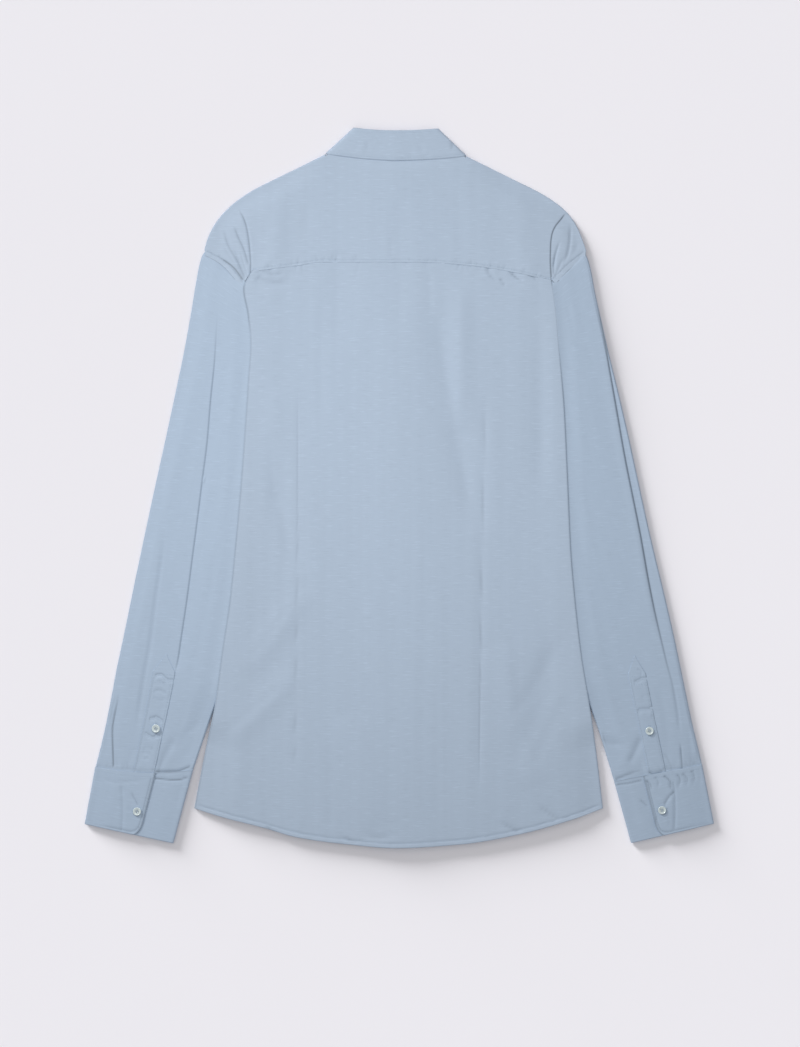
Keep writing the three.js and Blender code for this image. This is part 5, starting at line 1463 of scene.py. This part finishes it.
COLLAR_LAP = 1.3
COLLAR_FOOT_DIP = 0.55
COLLAR_COLUMNS = 200
COLLAR_ROWS = 24
stations = np.array(COLLAR_STATIONS, float)
steps = np.linalg.norm(np.diff(stations[:, [0, 1, 4]], axis=0), axis=1)
round_neck = np.concatenate([[0], np.cumsum(steps)])
collar_readers = [smooth_reader(round_neck, stations[:, k]) for k in range(5)]
collar_at = spaced(COLLAR_COLUMNS) * round_neck[-1]
collar_up = np.linspace(0, 1, COLLAR_ROWS)


def place_collar(column, row):
    at, up = collar_at[column], collar_up[row]
    base_x, base_y, top_x, top_y, z = (read(at) for read in collar_readers)
    base_y = base_y - COLLAR_LAP * smooth_step(*COLLAR_RISES, z) * (base_y > BACK_OF_NECK)
    x, y = mix(base_x, top_x, up), mix(base_y, top_y, up)
    on_back = smooth_step(*COLLAR_RISES, z) * (y > BACK_OF_NECK)
    fine, shade = crease_field(COLLAR_CREASES, x, y)
    z = z + (fine - COLLAR_FOOT_DIP * (1 - smooth_step(0, 0.12, up))) * on_back
    return x, y, z, at, up * COLLAR_WIDTH, shade * on_back


collar = lay_cloth("collar_band_cloth", "collar_band", COLLAR_COLUMNS, COLLAR_ROWS, place_collar,
                   wall=STIFF_WALL)

# %% [markdown]
# ## The hidden fronts
# The two fronts and their placket rest on the table, so no photograph from above shows
# them. They are finished plainly: a copy of the fixed frame's own solid is merged,
# divided and smoothed, and gets the same cloth.

# %% Fronts
FRONT_CUTS = 2
ANY_ANGLE = 3.14


def soften_copy(name, node):
    sheet = bmesh.new()
    sheet.from_mesh(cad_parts[node].data)
    bmesh.ops.remove_doubles(sheet, verts=sheet.verts, dist=0.001 * MM)
    bmesh.ops.join_triangles(sheet, faces=sheet.faces, angle_face_threshold=ANY_ANGLE,
                             angle_shape_threshold=ANY_ANGLE)
    bmesh.ops.subdivide_edges(sheet, edges=sheet.edges, cuts=FRONT_CUTS, use_grid_fill=True)
    for layer in list(sheet.loops.layers.uv.values()):
        sheet.loops.layers.uv.remove(layer)
    grain = sheet.loops.layers.uv.new("grain")
    for face in sheet.faces:
        face.smooth = True
        for loop in face.loops:
            loop[grain].uv = loop.vert.co.xy
    mesh = bpy.data.meshes.new(name)
    sheet.to_mesh(mesh)
    sheet.free()
    obj = bpy.data.objects.new(name, mesh)
    obj.data.materials.append(BODY_FINISH)
    finish_piece(obj, node)
    area = sum(face.area for face in mesh.polygons) / 2
    print(f"{name}: {len(mesh.polygons)} faces, {area:.4f} m2 of cloth")


for node in ("front_left", "front_right", "front_placket"):
    soften_copy(node + "_cloth", node)

# %% [markdown]
# ## Buttons
# A shirt button is a small turned shell disc with a raised rim, a dished middle and four
# holes. The middle is a grid rounded into a disc, so that four of its faces can be pushed
# down as holes. The rim and the foot are extruded from the disc's edge, and one level
# of subdivision rounds everything off.

# %% Buttons
BUTTON_THICKNESS = 2.0
DISH_RADIUS = 2.9
DISH_CELLS = 8
DISH_HEIGHT = 1.25
DISH_CURVE = 0.02
HOLE_OFFSET = 1.03
HOLE_CATCH = 0.3
HOLE_DEPTH = 1.0
HOLE_RIM = 0.12
BUTTON_PROFILE = (
    (3.3, 1.55), (3.7, 1.95), (4.25, 1.9), (4.7, 1.2), (4.4, 0.45), (3.6, 0.02), (1.5, 0.0))
DISH_SHADE = 0.5
THREAD_GAP = 0.55
THREAD_LENGTH = 3.0
FIRST_TURN = 0.3


def make_button(name, node, x, y, foot, facing=1, turn=FIRST_TURN):
    """A button whose front looks up when facing is 1 and down when it is -1."""
    shell = bmesh.new()
    bmesh.ops.create_grid(shell, x_segments=DISH_CELLS, y_segments=DISH_CELLS, size=1)
    dark = shell.verts.layers.float.new("shade")
    for point in shell.verts:
        x_share, y_share = point.co.xy
        point.co.x = DISH_RADIUS * x_share * math.sqrt(1 - y_share**2 / 2)
        point.co.y = DISH_RADIUS * y_share * math.sqrt(1 - x_share**2 / 2)
        point.co.z = DISH_HEIGHT + DISH_CURVE * point.co.xy.length_squared
        # The dished middle gets a painted shade, darkest at its centre.
        point[dark] = DISH_SHADE * max(0, 1 - point.co.xy.length_squared / DISH_RADIUS**2)
    holes = [face for face in shell.faces
             if all(abs(abs(at) - HOLE_OFFSET) < HOLE_CATCH for at in face.calc_center_median().xy)]
    bmesh.ops.inset_individual(shell, faces=holes, thickness=HOLE_RIM)
    for face in holes:
        for point in face.verts:
            point.co.z -= HOLE_DEPTH
    edges = [edge for edge in shell.edges if edge.is_boundary]
    radius = DISH_RADIUS
    for next_radius, height in BUTTON_PROFILE:
        ring = bmesh.ops.extrude_edge_only(shell, edges=edges)["geom"]
        points = [item for item in ring if isinstance(item, bmesh.types.BMVert)]
        edges = [item for item in ring if isinstance(item, bmesh.types.BMEdge)]
        for point in points:
            point.co.xy *= next_radius / radius
            point.co.z = height
            point[dark] = 0
        radius = next_radius
    bmesh.ops.contextual_create(shell, geom=edges)
    bmesh.ops.recalc_face_normals(shell, faces=shell.faces)
    tilt = Matrix.Rotation(0 if facing > 0 else math.pi, 4, "X")
    lift = foot if facing > 0 else foot + BUTTON_THICKNESS
    move = Matrix.Translation(Vector((x, y, lift)) * MM) @ tilt @ Matrix.Rotation(turn, 4, "Z")
    bmesh.ops.transform(shell, matrix=move @ Matrix.Scale(MM, 4), verts=shell.verts)
    for face in shell.faces:
        face.smooth = True
    mesh = bpy.data.meshes.new(name)
    shell.to_mesh(mesh)
    shell.free()
    obj = bpy.data.objects.new(name, mesh)
    obj.data.materials.append(BUTTON_FINISH)
    smooth = obj.modifiers.new("smooth", "SUBSURF")
    smooth.levels = smooth.render_levels = 1
    return finish_piece(obj, node)


FRONT_BUTTONS = 7
FIRST_FRONT_BUTTON = 232
FRONT_BUTTON_SPACING = 90
COLLAR_BUTTON_HEIGHT = 296
SLEEVE_BUTTON_FOOT = 5.7
SLEEVE_BUTTONS = {
    "button_cuff_left": (-288.3, -356, 0.5), "button_sleeve_left": (-267.6, -264.9, 0.9),
    "button_cuff_right": (288.9, -354.6, 0.2), "button_sleeve_right": (275.1, -267.4, 1.2)}
front_button_heights = [FIRST_FRONT_BUTTON - n * FRONT_BUTTON_SPACING
                        for n in range(FRONT_BUTTONS)]

for name, (x, y, turn) in SLEEVE_BUTTONS.items():
    make_button(name + "_shell", name, x, y, SLEEVE_BUTTON_FOOT, 1, turn)
make_button("button_collar_shell", "button_collar", 0, COLLAR_BUTTON_HEIGHT, 0, -1)
for n, y in enumerate(front_button_heights):
    name = f"button_front_{n + 1}"
    make_button(name + "_shell", name, 0, y, 0, -1, FIRST_TURN + n)
print("buttons:", FRONT_BUTTONS + 1 + len(SLEEVE_BUTTONS))

# %% [markdown]
# ## Sewing
# Every seam that shows is sewn through with single stitches, about three millimetres
# apart. Each is a short thread of its own, laid on the cloth by looking straight down at
# it, so the rows follow the creases. The threads of one seam are one piece, because a
# part's list with hundreds of stitches would be of no use.

# %% Sewing
STITCH_PITCH = 3.0
STITCH_LENGTH = 2.2
STITCH_WIDTH = 0.5
STITCH_HEIGHT = 0.3
STITCHES_AT_ONCE = 40
DROP_HEIGHT = 60
BAR_PITCH = 0.55
BAR_LENGTH = 1.3
BAR_OFFSET = 0.8
BUTTONHOLE_LENGTH = 13.0
LINE_SAMPLES = 200
STITCH_NEARBY = 0.004
SLIP = 0.06
LEAN = 0.05
STITCH_LENGTHS = (0.9, 1.1)


def running(line, seed):
    """Stitches along a flat line: place, direction and length."""
    read = line_through(line)
    xs, ys = read(np.linspace(0, 1, LINE_SAMPLES))
    length = np.hypot(np.diff(xs), np.diff(ys)).sum()
    chance = random.Random(seed)
    stitches = []
    for k in range(int(length / STITCH_PITCH)):
        share = (k + 0.5 + chance.uniform(-SLIP, SLIP)) * STITCH_PITCH / length
        x, y = read(share)
        ahead_x, ahead_y = read(min(1, share + STITCH_NEARBY))
        back_x, back_y = read(max(0, share - STITCH_NEARBY))
        turn = math.atan2(ahead_y - back_y, ahead_x - back_x) + chance.uniform(-LEAN, LEAN)
        stitches.append((x, y, turn, STITCH_LENGTH * chance.uniform(*STITCH_LENGTHS)))
    return stitches


def buttonhole(x, y, turn):
    """Close bars on both sides of a slit."""
    stitches = []
    for k in range(int(BUTTONHOLE_LENGTH / BAR_PITCH)):
        along = (k + 0.5) * BAR_PITCH - BUTTONHOLE_LENGTH / 2
        for side in (-BAR_OFFSET, BAR_OFFSET):
            at_x = x + along * math.cos(turn) - side * math.sin(turn)
            at_y = y + along * math.sin(turn) + side * math.cos(turn)
            stitches.append((at_x, at_y, turn + math.pi / 2, BAR_LENGTH))
    return stitches


def sew(name, stitches, cloth, facing=1):
    """Lay the stitches on a piece, some dozens at a time, because a growing mesh is slow."""
    tree = BVHTree.FromObject(cloth, bpy.context.evaluated_depsgraph_get())
    mesh = bpy.data.meshes.new(name)
    for first in range(0, len(stitches), STITCHES_AT_ONCE):
        thread = bmesh.new()
        for x, y, turn, length in stitches[first:first + STITCHES_AT_ONCE]:
            start = Vector((x, y, DROP_HEIGHT * facing)) * MM
            place, normal = tree.ray_cast(start, Vector((0, 0, -facing)))[:2]
            if place is None:
                continue
            normal = normal if normal.z * facing > 0 else -normal
            along = Vector((math.cos(turn), math.sin(turn), 0))
            along = (along - normal * along.dot(normal)).normalized()
            axes = Matrix((along, normal.cross(along), normal)).transposed().to_4x4()
            size = Matrix.Diagonal(
                (length / 2 * MM, STITCH_WIDTH / 2 * MM, STITCH_HEIGHT / 2 * MM, 1))
            bmesh.ops.create_uvsphere(thread, u_segments=5, v_segments=4, radius=1,
                                      matrix=Matrix.Translation(place) @ axes @ size)
        thread.from_mesh(mesh)
        thread.to_mesh(mesh)
        thread.free()
    mesh.shade_smooth()
    obj = bpy.data.objects.new(name, mesh)
    obj.data.materials.append(THREAD_FINISH)
    print(f"{name}: {len(stitches)} stitches")
    return finish_piece(obj)


# %% [markdown]
# The rows run beside the yoke seam, the armholes and the hem, along both edges of the
# collar, and round each cuff flap and strap. Every button that shows has its two pairs of
# thread through the holes.

# %% Rows of stitches
CUFF_TOP_SHARES = (0.03, 0.2, 0.4, 0.6, 0.8, 0.97)
CUFF_TOP_STITCH = 0.03
PLACKET_EDGE = 13.5
PLACKET_TOP, PLACKET_END = 262, -376

bpy.context.view_layer.update()
sew("yoke_stitches", running(shifted(YOKE_SEAM, YOKE_STITCH), 51), yoke)
sew("armhole_stitches", running(stitch_left, 52) + running(stitch_right, 53), yoke)
sew("hem_stitches", running(hem_seam, 54), back)
sew("collar_stitches", running(COLLAR_FOOT_STITCHES, 55) + running(COLLAR_TOP_STITCHES, 56), collar)
for side, cuff in (("left", CUFF_LEFT), ("right", CUFF_RIGHT)):
    x, y, _ = SLEEVE_BUTTONS[f"button_cuff_{side}"]
    rows = running(cuff_stitch_line(cuff), 57)
    top_line = plain_line(cuff_flat(cuff, share, CUFF_TOP_STITCH) for share in CUFF_TOP_SHARES)
    rows += running(top_line, 58)
    run_x, run_y = np.subtract(cuff["top_inner"], cuff["top_outer"])
    sew(f"cuff_{side}_stitches", rows + buttonhole(x, y, math.atan2(run_y, run_x)),
        pieces[f"cuff_{side}_cloth"])
for side, sleeve, straps in (("left", left_sleeve, STRAP_LEFT),
                             ("right", right_sleeve, STRAP_RIGHT)):
    lines = [([(share, height) for height in (0.19, 0.45, 0.7, 0.98)], 59)
             for share in STRAP_EDGES]
    lines += [([(share, height) for share in (0.1, 0.5, 0.9)], 60) for height in (0.17, 0.24)]
    rows = []
    for spots, seed in lines:
        rows += running([strap_spot(sleeve, straps, *spot) for spot in spots], seed)
    x, y, _ = SLEEVE_BUTTONS[f"button_sleeve_{side}"]
    sew(f"placket_{side}_stitches", rows + buttonhole(x, y, math.pi / 2),
        pieces[f"sleeve_placket_{side}_cloth"])
for name, (x, y, turn) in SLEEVE_BUTTONS.items():
    bars = [(x - side * math.sin(turn), y + side * math.cos(turn), turn, THREAD_LENGTH)
            for side in (-2 * THREAD_GAP, -THREAD_GAP, THREAD_GAP, 2 * THREAD_GAP)]
    sew(name + "_thread", bars, pieces[name + "_shell"])
rows = []
for edge, seed in ((-PLACKET_EDGE, 61), (PLACKET_EDGE, 62)):
    rows += running([(edge, PLACKET_TOP), (edge, 0), (edge, PLACKET_END)], seed)
for y in front_button_heights:
    rows += buttonhole(0, y, math.pi / 2)
sew("front_placket_stitches", rows, pieces["front_placket_cloth"], facing=-1)

# %% [markdown]
# ## Table and light
# The table is a plain pale sheet of paper, evenly lit, with a soft shadow to the right and
# below. A wide low sun draws that shadow on the table alone, and a fill from above keeps it
# pale. The cloth has its own light, a panel at the upper left, and a small one close above
# the middle, so that the far corners get less. A pale sky fills the rest. A studio does the
# same with flags, which keep a lamp off the table.

# %% Table
TABLE_HALF = 6.0
table = bmesh.new()
bmesh.ops.create_grid(table, x_segments=8, y_segments=8, size=TABLE_HALF)
mesh = bpy.data.meshes.new("table_top")
table.to_mesh(mesh)
table.free()
floor = bpy.data.objects.new("table_top", mesh)
bpy.context.scene.collection.objects.link(floor)
floor.data.materials.append(plain_finish("pale_paper", (0.829, 0.811, 0.852), 0.9, 0.004, 3.0))

# %% Lights
SKY = 0.42
SKY_COLOUR = (0.98, 0.99, 1.0, 1)
world = bpy.data.worlds.new("studio")
world.use_nodes = True
sky = world.node_tree.nodes["Background"]
sky.inputs["Color"].default_value = SKY_COLOUR
sky.inputs["Strength"].default_value = SKY
bpy.context.scene.world = world


def aim_light(light, place, receivers):
    """A light at a place, aimed at the middle of the shirt, that lights these pieces alone."""
    obj = bpy.data.objects.new(light.name, light)
    obj.location = place
    obj.rotation_euler = (-Vector(place)).to_track_quat("-Z", "Y").to_euler()
    bpy.context.scene.collection.objects.link(obj)
    group = bpy.data.collections.new(light.name + "_lights")
    for receiver in receivers:
        group.objects.link(receiver)
    obj.light_linking.receiver_collection = group
    return obj


table_sun = bpy.data.lights.new("table_sun", "SUN")
table_sun.angle = math.radians(22)
table_sun.energy = 9.2
aim_light(table_sun, (-1.38, 1.38, 0.274), [floor])

table_fill = bpy.data.lights.new("table_fill", "SUN")
table_fill.angle = math.radians(120)
table_fill.energy = 0.55
aim_light(table_fill, (0, 0, 2), [floor])

key = bpy.data.lights.new("key_panel", "AREA")
key.shape = "DISK"
key.size = 0.8
key.energy = 57
key.color = (1.0, 0.99, 0.975)
aim_light(key, (-2.2, 2.3, 2.0), pieces.values())

near = bpy.data.lights.new("near_panel", "AREA")
near.shape = "DISK"
near.size = 0.5
near.energy = 2.4
aim_light(near, (-0.12, 0.14, 0.8), pieces.values()).visible_camera = False

scene = bpy.context.scene
scene.view_settings.view_transform = "Standard"
scene.view_settings.look = "None"
